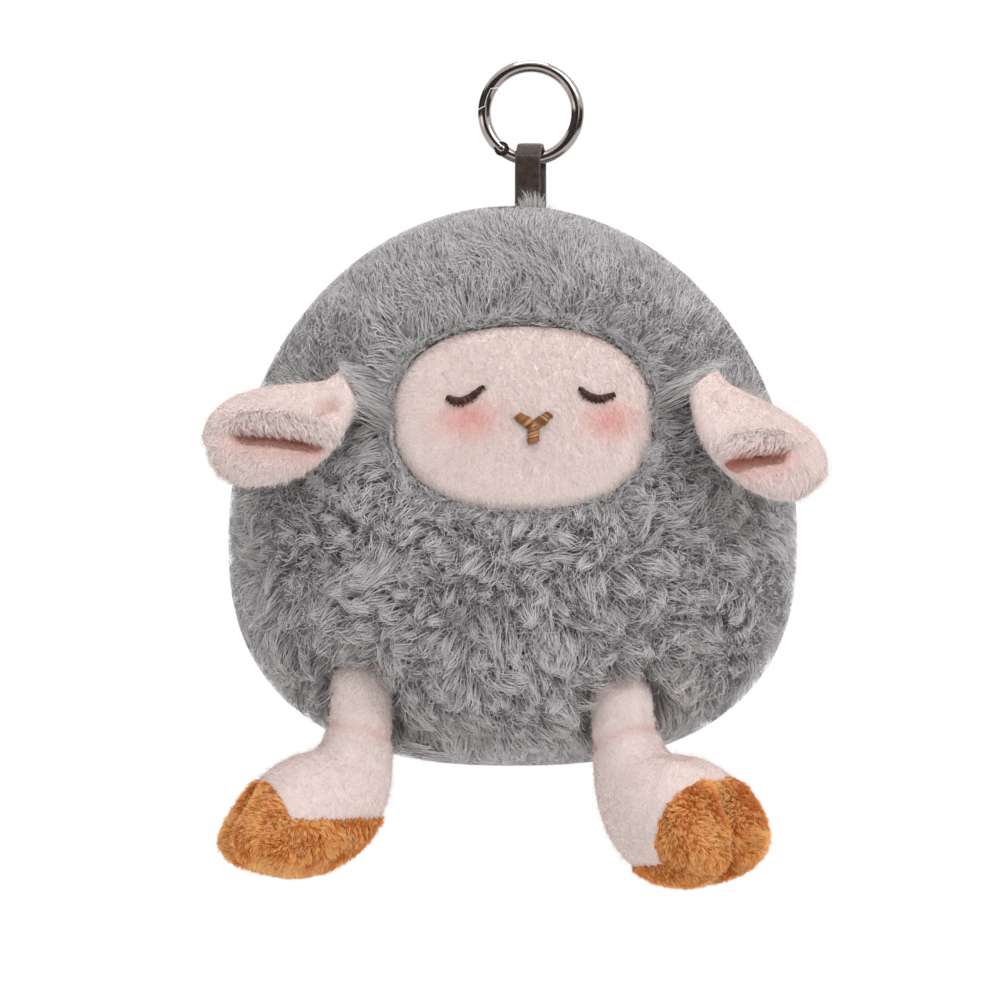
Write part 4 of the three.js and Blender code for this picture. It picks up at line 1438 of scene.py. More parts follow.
@dataclass
class Face:
    """The oval face of short pile, let into the fur, with stitched eyes and nose."""

    form: BodyForm
    oval: FaceForm
    inset: float = 2.6
    rim_roll: float = 1.5
    rings: int = 44
    sides: int = 160
    cloth: float = 0.9
    pile: Pile = Pile(
        count=78000, length=1.1, width=0.09, segments=1, root_lean=52.0, tip_lean=66.0,
        stray=45.0, curl=0.2,
    )
    blushes: tuple[Blush, ...] = (Blush(-14.6, -82.0, 6.6, 4.4), Blush(18.2, -82.3, 5.6, 4.0))
    left_eye: tuple = ((-19.6, -76.9), (-17.7, -77.9), (-14.7, -77.3), (-11.2, -74.5))
    right_eye: tuple = ((11.1, -74.9), (13.6, -76.9), (16.3, -77.3), (19.2, -76.2))
    nose_left: tuple = ((-3.5, -81.2), (0.4, -83.8))
    nose_right: tuple = ((4.2, -81.0), (0.4, -83.8))
    nose_stem: tuple = ((0.4, -83.0), (0.45, -87.4))
    eye_stroke: float = 1.75
    nose_stroke: float = 2.7
    eye_threads: int = 42
    stem_threads: int = 15
    arm_threads: int = 13
    eye_radius: float = 0.21
    nose_radius: float = 0.26
    stitch_points: int = 9
    stitch_lift: tuple[float, float] = (0.15, 1.15)
    thread_tone: tuple[float, float] = (0.46, 0.19)
    lumps: float = 0.22
    blush_strength: float = 0.5
    tuft: Tuft = Tuft(9, 0.4)
    seed: int = 77

    def build(self) -> None:
        """Builds the panel, its pile and the stitching."""
        skin = self._panel()
        made = skin_piece("face_cloth", skin, PINK_BACKING, self.cloth)
        settle(made, "torso", "pink_pile", "face_panel")
        rng = np.random.default_rng(self.seed)
        roots = skin.scatter(self.pile.count, rng)
        swirl = soft_noise(roots.points, seed=31, cell=12.0)[:, None]
        down = along_surface(-UP, roots.normals)
        flow = unit(down + np.cross(roots.normals, down) * swirl * 0.8)
        strands = Strands.grown(roots, flow, self.pile, rng)
        # The tone is painted darker towards the face's middle, a painted shade; the cloud is a mottle
        # in the pile's own tone.
        middle = bell(self.oval.measure(roots.points), 0.6)
        cloud = soft_noise(roots.points, seed=32, cell=5.0)
        strands.marks["tone"] += 0.3 * cloud - 0.36 * middle - 0.04
        strands = strands.tufted(self.tuft, rng)
        made = strand_piece("face_pile", strands, PINK_PILE)
        settle(made, "torso", "pink_pile", "face_panel")
        for side, curve in ((Side.LEFT, self.left_eye), (Side.RIGHT, self.right_eye)):
            made = skin_piece(f"{side.word}_eye", self._eye(curve, rng), EYE_THREAD)
            settle(made, "torso", "eye_thread", f"{side.word}_eye_stitching")
        made = skin_piece("nose", self._nose(rng), NOSE_THREAD)
        settle(made, "torso", "nose_thread", "nose_stitching")

    def _panel(self) -> Skin:
        """The oval panel, gently puffed, with its rim rolled back into the fur.

        Returns:
            The open skin, with its blush marked.
        """
        share = np.linspace(0, 1, self.rings + 1)[1:, None] ** 0.8
        flat = np.array(self.oval.half) * share[..., None] * self.oval.edge(circle(self.sides))
        roll = self.rim_roll * eased(share, 0.86, 1.02) ** 1.6
        rings = self._on_panel(self.oval.middle + flat, -roll)
        skin = ringed_skin(rings, self._on_panel(np.array(self.oval.middle), 0.0))
        if skin.normals()[:, 1].mean() > 0:
            skin = skin.flipped()
        skin = skin.inset(self.lumps * soft_noise(skin.points, seed=33, cell=9.0))
        glow = sum(blush.strength(skin.points) for blush in self.blushes)
        skin.marks["blush"] = np.clip(glow, 0, 1) * self.blush_strength
        return skin

    def _on_panel(self, flat: Array, lift: Union[float, Array]) -> Array:
        """Points on the panel at places across and up, lifted towards the viewer."""
        x, z = flat[..., 0], flat[..., 1]
        return points_of(x, self.form.front(x, z, self.inset) - lift, z)

    def _stitches(
        self, line: Array, way: Array, reach: Array, radius: float, rng: Random
    ) -> list[Skin]:
        """Threads laid side by side across a line.

        Args:
            line: The line's points, one for each thread, as X and Z.
            way: The way that each thread lies, as X and Z.
            reach: How far each thread goes before and after the line, one row each.
            radius: The thread's radius.
            rng: The seeded source of random numbers.

        Returns:
            One skin for each thread.
        """
        threads = []
        low, high = self.stitch_lift
        arch = np.sin(np.linspace(0, math.pi, self.stitch_points)) ** 0.6
        for point, heading, (back, ahead) in zip(line, way, reach):
            spots = point + heading * np.linspace(-back, ahead, self.stitch_points)[:, None]
            lift = low + (high + 0.15 * rng.uniform(-1, 1)) * arch
            skin = thread(self._on_panel(spots, lift), radius)
            tone = np.clip(rng.normal(*self.thread_tone), 0, 1)
            skin.marks["tone"] = np.full(len(skin.points), tone)
            threads.append(skin)
        return threads

    def _eye(self, curve: tuple, rng: Random) -> Skin:
        """One closed eye: short threads across a drooping line, its lower edge uneven.

        Args:
            curve: The line's points as X and Z.
            rng: The seeded source of random numbers.

        Returns:
            The threads.
        """
        count = self.eye_threads
        line = smooth_rows(np.array(curve), count)
        tangent = unit(np.gradient(line, axis=0))
        across = -quarter_turned(tangent)
        across *= np.sign(-across[:, 1:2] + TINY)
        slant = unit(across + tangent * 0.25)
        place = np.linspace(-1, 1, count)
        swell = 1 - 0.6 * np.abs(place) ** 3
        tooth = np.where(np.arange(count) % 4 == 0, 0.5, 0.0) * rng.uniform(0.5, 1.2, count)
        half = self.eye_stroke / 2 * swell
        ahead = half + tooth + 0.12 * rng.uniform(-1, 1, count)
        back = half + 0.10 * rng.uniform(-1, 1, count)
        reach = np.stack([back, ahead], axis=1)
        return skins_joined(self._stitches(line, slant, reach, self.eye_radius, rng))

    def _nose(self, rng: Random) -> Skin:
        """The nose: threads in the form of a Y.

        Args:
            rng: The seeded source of random numbers.

        Returns:
            The threads.
        """
        threads: list[Skin] = []
        for (start, end), count, slant in (
            (self.nose_stem, self.stem_threads, 0.3),
            (self.nose_left, self.arm_threads, -0.3),
            (self.nose_right, self.arm_threads, 0.3),
        ):
            line = smooth_rows(np.array([start, end]), count)
            tangent = unit(line[-1:] - line[:1])
            way = np.repeat(unit(tangent * slant - quarter_turned(tangent)), count, axis=0)
            ends = 1 - 0.4 * np.linspace(1, 0, count)[:, None] ** 3
            reach = self.nose_stroke / 2 * ends + 0.18 * rng.uniform(-1, 1, (count, 2))
            threads += self._stitches(line, way, reach, self.nose_radius, rng)
        return skins_joined(threads)


@dataclass
class FaceFringe:
    """Short fur of the body that leans every way over the face's edge."""

    form: BodyForm
    oval: FaceForm
    root_depth: float = 7.0
    face_depth: float = 2.6
    cover: float = 2.4
    root_reach: tuple[float, float] = (0.2, 6.5)
    drift: tuple[float, float] = (1.5, 2.0)
    pile: Pile = Pile(count=9000, length=6.0, width=0.13, segments=5, wave=0.2, twist=45.0)
    tuft: Tuft = Tuft(9, 0.5)
    seed: int = 88

    def build(self) -> None:
        """Builds the fringe."""
        rng = np.random.default_rng(self.seed)
        count = self.pile.count
        edge = self.oval.edge(rng.uniform(0, 2 * math.pi, count))
        inward = -unit(signed_power(edge, self.oval.power - 1) / self.oval.half)
        place = self.oval.middle + edge * self.oval.half
        aside = quarter_turned(inward)
        patch = flat_noise(place, seed=62, cell=3.4)
        away = rng.uniform(*self.root_reach, (count, 1))
        over = self.cover * np.clip(0.6 + 1.1 * patch, 0, 1.5) * rng.random(count) - 1.0
        drift = rng.normal(size=count) * self.drift[0] + self.drift[1] * patch
        start = place - inward * away - aside * drift[:, None] * 0.4
        bent = place - inward * away * 0.5 + aside * drift[:, None] * 0.3
        end = place + inward * over[:, None] - inward * away * 0.45 + aside * drift[:, None]
        lift = self.face_depth - 0.3 - 0.9 * rng.random(count)
        strands = arched_strands(
            self._at_depth(start, np.full(count, self.root_depth)),
            self._at_depth(bent, lift - 0.7),
            self._at_depth(end, lift),
            np.tile([0.0, -1.0, 0.0], (count, 1)),
            self.pile,
            rng,
        )
        made = strand_piece("face_fringe", strands.tufted(self.tuft, rng), GREY_FUR)
        settle(made, "torso", "grey_fur", "body_front_panel")

    def _at_depth(self, flat: Array, depth: Array) -> Array:
        """Points at places across and up, at a depth below the body's form."""
        return points_of(flat[:, 0], self.form.front(flat[:, 0], flat[:, 1], depth), flat[:, 1])


# The ears


@dataclass(frozen=True)
class EarPlace:
    """Where one ear sits and how its opening lies.

    The leaf's own axes run along it, down its width and out of its front face.
    """

    side: Side
    way: Place
    lift: float
    mouth_root: tuple[float, float]
    mouth_tip: tuple[float, float]
    pinch: float = 1.0
    root_shift: tuple[float, float] = (-4.5, 3.9)

    def ways(self) -> tuple[Array, Array]:
        """The way that the ear points and the way out of its front, before it is lifted."""
        out = np.array(joint_of(f"{self.side.word}_ear_root")["axis"]) * self.side.value
        return unit(np.array(self.way)), out

    def start(self) -> Array:
        """The leaf's root, shifted from the ear's joint along the ear and out."""
        (along, out), (ahead, lift) = self.ways(), self.root_shift
        return joint_place(f"{self.side.word}_ear_root") + along * ahead + out * lift

    def axes(self) -> Array:
        """The leaf's three axes as rows: along, down and out.

        Returns:
            The rows.
        """
        along, out = self.ways()
        down = np.cross(along, out) * self.side.value
        turn = math.radians(self.lift)
        raised = along * math.cos(turn) + out * math.sin(turn)
        facing = out * math.cos(turn) - along * math.sin(turn)
        return np.stack([raised, -down if down[2] > 0 else down, facing])


@dataclass
class Ear:
    """One folded ear: a leaf whose upper flap rolls down over a deep fold."""

    place: EarPlace
    length: float = 37.0
    half_height: float = 13.6
    half_thickness: float = 7.2
    sag: float = 4.0
    inset: float = 1.2
    rings: int = 130
    sides: int = 170
    mouth_depth: float = 2.7
    mouth_slope: float = 4.5
    mouth_bow: float = 0.6
    rim_bulge: float = 1.1
    rim_overlap: float = 1.5
    reach_shares: tuple = (0.0, 0.12, 0.3, 0.5, 0.7, 0.86, 0.96)
    height_shares: tuple = (0.42, 0.54, 0.82, 1.0, 1.0, 0.8, 0.46)
    sag_shares: tuple = (0.2, 0.8, 1.0, 0.8, 0.5, 0.3, 0.2)
    thickness_shares: tuple = (0.4, 0.58, 0.82, 1.0, 1.0, 0.84, 0.5)
    pinch_place: tuple[float, float] = (6.2, 4.6)
    pinch_depth: float = 2.6
    # How strongly shade is painted into the pinch's dent.
    pinch_blush: float = 0.22
    pile: Pile = Pile(
        count=70000, length=0.7, width=0.085, segments=1, root_lean=58.0, tip_lean=70.0,
        stray=26.0, curl=0.2,
    )
    rim_pile: Pile = Pile(
        count=60000, length=2.7, width=0.12, segments=4, root_lean=34.0, tip_lean=82.0,
        stray=22.0, curl=0.35, droop=0.25, wave=0.12,
    )
    wisps: Pile = Pile(
        count=16000, length=2.1, width=0.09, segments=4, root_lean=30.0, tip_lean=82.0,
        stray=30.0, curl=0.4, wave=0.1,
    )
    lining_pile: Pile = Pile(
        count=26000, length=0.9, width=0.09, segments=1, root_lean=40.0, tip_lean=60.0,
        stray=28.0, curl=0.25,
    )
    rim_tuft: Tuft = Tuft(10, 0.5)
    wisp_tuft: Tuft = Tuft(7, 0.45)
    cloth: float = 0.6
    seed: int = 310

    def build(self) -> None:
        """Builds the ear's shell and lining and the pile on both."""
        word = f"{self.place.side.word}_ear"
        shell, lining = self._leaf().split_at("fold")
        outer, inner = ("pink_pile", f"{word}_shell"), ("ear_lining", f"{word}_lining")
        cloth = skin_piece(f"{word}_cloth", shell, PINK_BACKING, self.cloth)
        settle(cloth, word, *outer)
        cloth = skin_piece(f"{word}_lining_cloth", lining, LINING_BACKING, self.cloth)
        settle(cloth, word, *inner)
        rng = np.random.default_rng(self.seed + self.place.side.value)
        strands = self._coat(shell, self.pile, rng)
        settle(strand_piece(f"{word}_pile", strands, PINK_PILE), word, *outer)
        rim = self._coat(shell, self.rim_pile, rng, lambda marks: 0.6 * marks["rim"], 0.25)
        rim = rim.tufted(self.rim_tuft, rng)
        lip = self._coat(shell, self.wisps, rng, lambda marks: 0.08 + 0.8 * marks["lip"], 0.6)
        strands = strands_joined([rim, lip.tufted(self.wisp_tuft, rng)])
        settle(strand_piece(f"{word}_rim", strands, PINK_PILE), word, *outer)
        strands = self._coat(lining, self.lining_pile, rng)
        settle(strand_piece(f"{word}_lining_pile", strands, LINING_PILE), word, *inner)

    def _coat(
        self,
        skin: Skin,
        pile: Pile,
        rng: Random,
        share: Optional[Callable[[dict[str, Array]], Array]] = None,
        blush: float = 1.0,
    ) -> Strands:
        """One coat of pile.

        Args:
            skin: What it grows on.
            pile: How it grows.
            rng: The seeded source of random numbers.
            share: How many of the roots are kept, from the marks on them.
            blush: How much of the skin's blush and painted shade it takes.

        Returns:
            The strands.
        """
        roots = skin.scatter(pile.count, rng)
        if share:
            roots = roots.chosen(rng.random(pile.count) < share(roots.marks))
        roots.marks["blush"] *= blush
        return Strands.grown(roots, self._flow(roots), pile, rng)

    def placed(self, local: Array) -> Array:
        """Points of the leaf in the toy's frame."""
        return self.place.start() + local @ self.place.axes()

    def outline(self, count: int) -> Array:
        """The leaf's reach, height, sag and thickness at samples along it, one row each.

        Args:
            count: How many samples.

        Returns:
            The four rows.
        """
        shares = (self.reach_shares, self.height_shares, self.sag_shares, self.thickness_shares)
        high, thick = self.half_height - self.inset, self.half_thickness - self.inset
        sizes = np.array([[self.length], [high], [self.sag], [thick]])
        return smooth_rows(np.transpose(shares), count).T * sizes

    def _leaf(self) -> Skin:
        """The closed leaf with its fold pressed in.

        Returns:
            The skin in the toy's frame, with the marks of its fold.
        """
        reach, high, sag, thick = self.outline(self.rings)[..., None]
        turn = circle(self.sides)
        leaf = points_of(reach, sag + high * np.cos(turn), thick * np.sin(turn))
        start = np.array([-0.3, leaf[0, :, 1].mean(), 0.0])
        end = np.array([self.length - self.inset, leaf[-1, :, 1].mean(), 0.0])
        return self._folded(ringed_skin(leaf, start, end)).moved(self.placed).facing_out()

    def _folded(self, skin: Skin) -> Skin:
        """The leaf with its mouth pressed in and its upper rim rolled over it.

        Args:
            skin: The plain leaf in its own frame.

        Returns:
            The leaf, with its fold, rim and lower lip marked, and its blush, with painted shade in
            the pinch.
        """
        points = skin.points
        shift = np.array([self.place.root_shift[0], 0.0])
        root = np.array(self.place.mouth_root) - shift
        tip = np.array(self.place.mouth_tip) - shift
        line = tip - root
        size = np.linalg.norm(line)
        ahead = line / size
        below = quarter_turned(ahead)
        if below[1] < 0:
            below = -below
        flat = points[:, :2] - root
        along = flat @ ahead
        place = np.clip(2 * along / size - 1, -1, 1)
        under = flat @ below + self.mouth_bow * (1 - place**2)
        front = eased(points[:, 2], -0.5, 2.0)
        span = (1 - place**4) * eased(along, -0.6, 0.6) * (1 - eased(along, size - 0.6, size + 0.6))
        steep = bell(np.minimum(under, 0), 0.6) * bell(np.maximum(under, 0), self.mouth_slope)
        depth = self.mouth_depth * steep * span * front
        near = eased(along, -4.0, 2.0) * (1 - eased(along, size - 7.0, size + 6.0)) * front
        rim = bell(under + 2.2, 2.1) * near
        roll = bell(under + 1.0, 1.3) * near
        points = points.copy()
        points[:, 2] += self.rim_bulge * rim - depth
        points[:, :2] += below * (self.rim_overlap * roll)[:, None]
        folded = Skin(points, skin.faces)
        folded.marks["fold"] = (under > -0.9) * steep * span * front * 1.3
        folded.marks["rim"] = bell(under + 1.9, 2.0) * near * (under < 0.1)
        pinch = (points[:, :2] - np.array(self.pinch_place)) / np.array([3.0, 2.2])
        pinched = np.exp(-np.sum(pinch**2, axis=1)) * front * self.place.pinch
        folded.points[:, 2] -= self.pinch_depth * pinched
        folded.marks["lip"] = eased(under, 2.5, 6.0) * (points[:, 2] > -1.0)
        deep = bell(np.minimum(under + 0.4, 0), 0.5) * bell(np.maximum(under - 1.4, 0), 2.3)
        glow = np.maximum(0.95 * deep * span * front, 0.34 * bell(under - 3.4, 4.0) * near)
        # The blush mark here also holds painted shade in the pinch: a reddish shadow painted into its
        # dent.
        folded.marks["blush"] = np.clip(glow + self.pinch_blush * pinched, 0, 1)
        return folded

    def _flow(self, roots: Roots) -> Array:
        """The way the ear's pile is brushed: to the tip, and down over the rim.

        Args:
            roots: Where the strands start.

        Returns:
            One way along the surface each.
        """
        axes = self.place.axes()
        rim = roots.marks["rim"][:, None]
        way = axes[0] * 0.8 + axes[1] * 0.6
        return along_surface(way * (1 - rim) + axes[1] * 1.5 * rim, roots.normals)


@dataclass
class Ruff:
    """Fur of the body that hangs over the root and the inner edge of one ear."""

    ear: Ear
    form: BodyForm
    root_depth: float = 6.5
    longest: float = 8.5
    top_reach: float = 0.04
    low_reach: float = 0.46
    cover: float = 2.0
    root_reach: tuple[float, float] = (1.2, 8.5)
    root_height: tuple[float, float] = (-3.5, -1.5)
    drift: tuple[float, float] = (2.6, 3.0)
    samples: int = 100
    pile: Pile = Pile(count=5200, length=8.0, width=0.17, segments=5, wave=0.5, twist=45.0)
    tuft: Tuft = Tuft(18, 0.7)
    seed: int = 640

    def build(self) -> None:
        """Builds the ruff."""
        rng = np.random.default_rng(self.seed + self.ear.place.side.value)
        x, high, sag, _ = self.ear.outline(self.samples)
        top = points_of(x, sag - high)[: int(self.samples * self.top_reach)][::-1]
        low = points_of(x, sag + high)[: int(self.samples * self.low_reach)]
        edge = np.concatenate([top, low])
        steps = np.append(0, np.cumsum(np.linalg.norm(np.diff(edge, axis=0), axis=1)))
        count = self.pile.count
        spot = rng.random(count) * steps[-1]
        place = np.stack([np.interp(spot, steps, edge[:, axis]) for axis in (0, 1)], axis=1)
        inner = np.array([0.4 * self.ear.length, 0.0])
        inward = unit(inner - place)
        aside = quarter_turned(inward)
        patch = flat_noise(place, seed=61, cell=3.2)
        fade = 1 - 0.6 * (spot / steps[-1]) ** 2 + 0.9 * patch
        cover = self.cover * np.clip(fade, 0, 1.6) * rng.random(count) ** 0.9
        drift = rng.normal(size=count) * self.drift[0] + self.drift[1] * patch
        away = rng.uniform(*self.root_reach, (count, 1))
        start = place - inward * away - aside * drift[:, None] * 0.6
        middle = place - inward * away * 0.35 + aside * drift[:, None] * 0.3
        end = place + inward * (cover - 1.0)[:, None] + aside * drift[:, None]
        thick = 0.62 * self.ear.half_thickness
        room = thick * np.sqrt(np.clip(1 - (1 - np.clip(cover, 0, 10) / 10) ** 2, 0, 1))
        over = room + 0.3 + 1.3 * rng.random(count)
        near = self._raised(start, rng.uniform(*self.root_height, count))
        centre = self.form.centre()
        rooted = centre + (near - centre) / self.form.reach(near, self.root_depth)[:, None]
        gap = np.linalg.norm(near - rooted, axis=1) / self.longest
        keep = rng.random(count) > gap**2
        strands = arched_strands(
            rooted[keep],
            self._raised(middle, over * 0.8 + 0.4)[keep],
            self._raised(end, over)[keep],
            np.tile(self.ear.place.axes()[2], (int(keep.sum()), 1)),
            self.pile,
            rng,
        )
        word = self.ear.place.side.word
        made = strand_piece(f"{word}_ear_ruff", strands.tufted(self.tuft, rng), GREY_FUR)
        settle(made, "torso", "grey_fur", "body_front_panel")

    def _raised(self, flat: Array, height: Array) -> Array:
        """Points over the leaf's plane in the toy's frame."""
        return self.ear.placed(np.concatenate([flat, height[:, None]], axis=1))


# The legs


@dataclass
class Leg:
    """One hanging leg: a soft tube that turns into a cloven foot with an ochre hoof."""

    place: LegPlace
    sole_height: float
    radius: float = 8.4
    length: float = 10.5
    foot_length: float = 34.0
    foot_height: float = 33.7
    half_width: float = 17.0
    inset: float = 1.5
    cleft_depth: float = 5.8
    cleft_width: float = 2.8
    cap_side: float = 19.6
    cap_top: float = 31.0
    ankle_depth: float = 0.55
    roundness: float = 0.88
    top_forward: tuple = (0.31, 0.4, 0.5, 0.62, 0.735, 0.84, 0.926, 0.98)
    top_down: tuple = (0.042, 0.077, 0.107, 0.181, 0.285, 0.432, 0.573, 0.697)
    sole_forward: tuple = (-0.244, -0.2, -0.06, 0.176, 0.41, 0.66, 0.853, 0.965)
    sole_down: tuple = (0.24, 0.495, 0.75, 0.93, 0.997, 0.99, 0.93, 0.84)
    width_shares: tuple = (0.6, 0.7, 0.83, 0.94, 1.0, 0.97, 0.82, 0.5)
    toe_down: float = 0.77
    knee_angles: tuple = (78, 52, 26, 0)
    rings: int = 100
    sides: int = 110
    filling_inset: float = 2.0
    blush: float = 0.36
    cloth: float = 0.7
    pile: Pile = Pile(
        count=64000, length=0.7, width=0.085, segments=1, root_lean=58.0, tip_lean=70.0,
        stray=28.0, curl=0.2,
    )
    wisps: Pile = Pile(
        count=3500, length=1.8, width=0.075, segments=4, root_lean=35.0, tip_lean=84.0,
        stray=40.0, curl=0.5, wave=0.15,
    )
    hoof_pile: Pile = Pile(
        count=32000, length=1.9, width=0.14, segments=2, root_lean=18.0, tip_lean=64.0,
        stray=34.0, curl=0.4,
    )
    wisp_tuft: Tuft = Tuft(6, 0.5)
    hoof_tuft: Tuft = Tuft(14, 0.5)
    seed: int = 520

    def build(self) -> None:
        """Builds the leg's filling, its two cloths and their pile."""
        word = self.place.side.word
        body = f"{word}_leg"
        skin = self._form()
        inside = Skin(skin.points, skin.faces).inset(self.filling_inset)
        filling = skin_piece(f"{word}_leg_filling", inside.moved(self._placed), STUFFING)
        settle(filling, body, "stuffing", f"{word}_leg_stuffing")
        sleeve, hoof = skin.split_at("hoof")
        rng = np.random.default_rng(self.seed + self.place.side.value)
        sleeve_coats = (("pile", self.pile, 0.12, None), ("wisps", self.wisps, 0.0, self.wisp_tuft))
        hoof_coats = (("pile", self.hoof_pile, 0.2, self.hoof_tuft),)
        for part, name, coats, backing, finish, slot in (
            (sleeve, "leg_sleeve", sleeve_coats, PINK_BACKING, PINK_PILE, "pink_pile"),
            (hoof, "hoof", hoof_coats, HOOF_BACKING, HOOF_PILE, "hoof_pile"),
        ):
            placed = part.moved(self._placed)
            node = f"{word}_{name}"
            settle(skin_piece(f"{node}_cloth", placed, backing, self.cloth), body, slot, node)
            for coat, pile, mottle, tuft in coats:
                roots = placed.scatter(pile.count, rng)
                strands = Strands.grown(roots, self._flow(roots, bool(tuft)), pile, rng)
                strands.marks["tone"] += mottle * soft_noise(roots.points, seed=51, cell=4.0)
                if tuft:
                    strands = strands.tufted(tuft, rng)
                settle(strand_piece(f"{node}_{coat}", strands, finish), body, slot, node)

    def _placed(self, local: Array) -> Array:
        """Points of the leg in the toy's frame."""
        frame_rows = np.array(self.place.frame())
        return local @ frame_rows[:3, :3].T + frame_rows[:3, 3]

    def _form(self) -> Skin:
        """The leg's closed skin in its own frame, with marks for the hoof and for a pink tint that is
        partly painted shade in the cleft and the ankle crease.

        Returns:
            The skin.
        """
        turn = np.radians(self.knee_angles)
        reach, rise = self.radius * np.cos(turn), self.radius * np.sin(turn)
        shin = [[-self.radius, -self.length / 2, self.radius, -self.length / 2, self.radius]]
        foot = np.transpose([
            self.top_forward, self.top_down, self.sole_forward, self.sole_down, self.width_shares
        ])
        size = np.array([-self.foot_length, -self.foot_height] * 2 + [self.half_width])
        foot = foot * size - np.array([0, self.length, 0, self.length, 0])
        rows = np.concatenate([points_of(-reach, rise, reach, rise, reach), shin, foot])
        top_y, top_z, sole_y, sole_z, wide = smooth_rows(rows, self.rings).T[..., None]
        turn = circle(self.sides)
        rings = points_of(
            wide * signed_power(np.sin(turn), self.roundness),
            (top_y + sole_y) / 2 + (top_y - sole_y) / 2 * np.cos(turn),
            (top_z + sole_z) / 2 + (top_z - sole_z) / 2 * np.cos(turn),
        )
        top = np.array([0, 0, self.radius])
        toe = np.array([0, -self.foot_length, -self.length - self.foot_height * self.toe_down])
        skin = ringed_skin(rings, top, toe).facing_out().inset(self.inset)
        points = skin.points.copy()
        rise = np.clip(1 + (points[:, 2] + self.length) / self.foot_height, 0, 1)
        cap = self.cap_side + (self.cap_top - self.cap_side) * rise**3
        sole = points[:, 2] < self.sole_height - self.length - self.foot_height
        hoof = ((-points[:, 1] > cap) | sole).astype(float)
        ahead = np.clip(-points[:, 1] / self.foot_length, 0, 1)
        share = eased(ahead, 0.52, 0.86) * (1 - eased(rise, 0.5, 0.8))
        share += 0.16 * eased(ahead, 0.2, 0.42) * (1 - eased(ahead, 0.45, 0.8)) * (rise > 0.3)
        pull = share * bell(points[:, 0], self.cleft_width)
        towards = np.array([0.0, -0.35 * self.foot_length, -self.length - 0.6 * self.foot_height])
        points += unit(towards - points) * (self.cleft_depth * pull)[:, None]
        crease = bell(points[:, 2] + self.length - 0.9 + 0.25 * points[:, 1], 1.3)
        points -= skin.normals() * (self.ankle_depth * crease)[:, None]
        uneven = 0.6 + 0.6 * soft_noise(points, seed=53, cell=5.0)
        # The blush mark on the leg is a pink tint in the cleft and the ankle crease, and it is partly
        # painted shade in those hollows.
        blush = self.blush * np.clip(1.5 * pull + 0.8 * crease * uneven, 0, 1)
        return Skin(points, skin.faces, {"hoof": hoof, "blush": blush})

    def _flow(self, roots: Roots, swirly: bool) -> Array:
        """The way the leg's pile is brushed: down and to the toes, or in swirls on the hoof.

        Args:
            roots: Where the strands start.
            swirly: Whether the pile lies in swirls.

        Returns:
            One way along the surface each.
        """
        way = np.array(self.place.frame())[:3, :3] @ np.array([0.0, -0.7, -1.0])
        cell, most = (5.0, 2.2) if swirly else (12.0, 0.5)
        angle = soft_noise(roots.points, seed=52, cell=cell)[:, None] * most
        return swirled(along_surface(way, roots.normals), roots.normals, angle)


# The strap


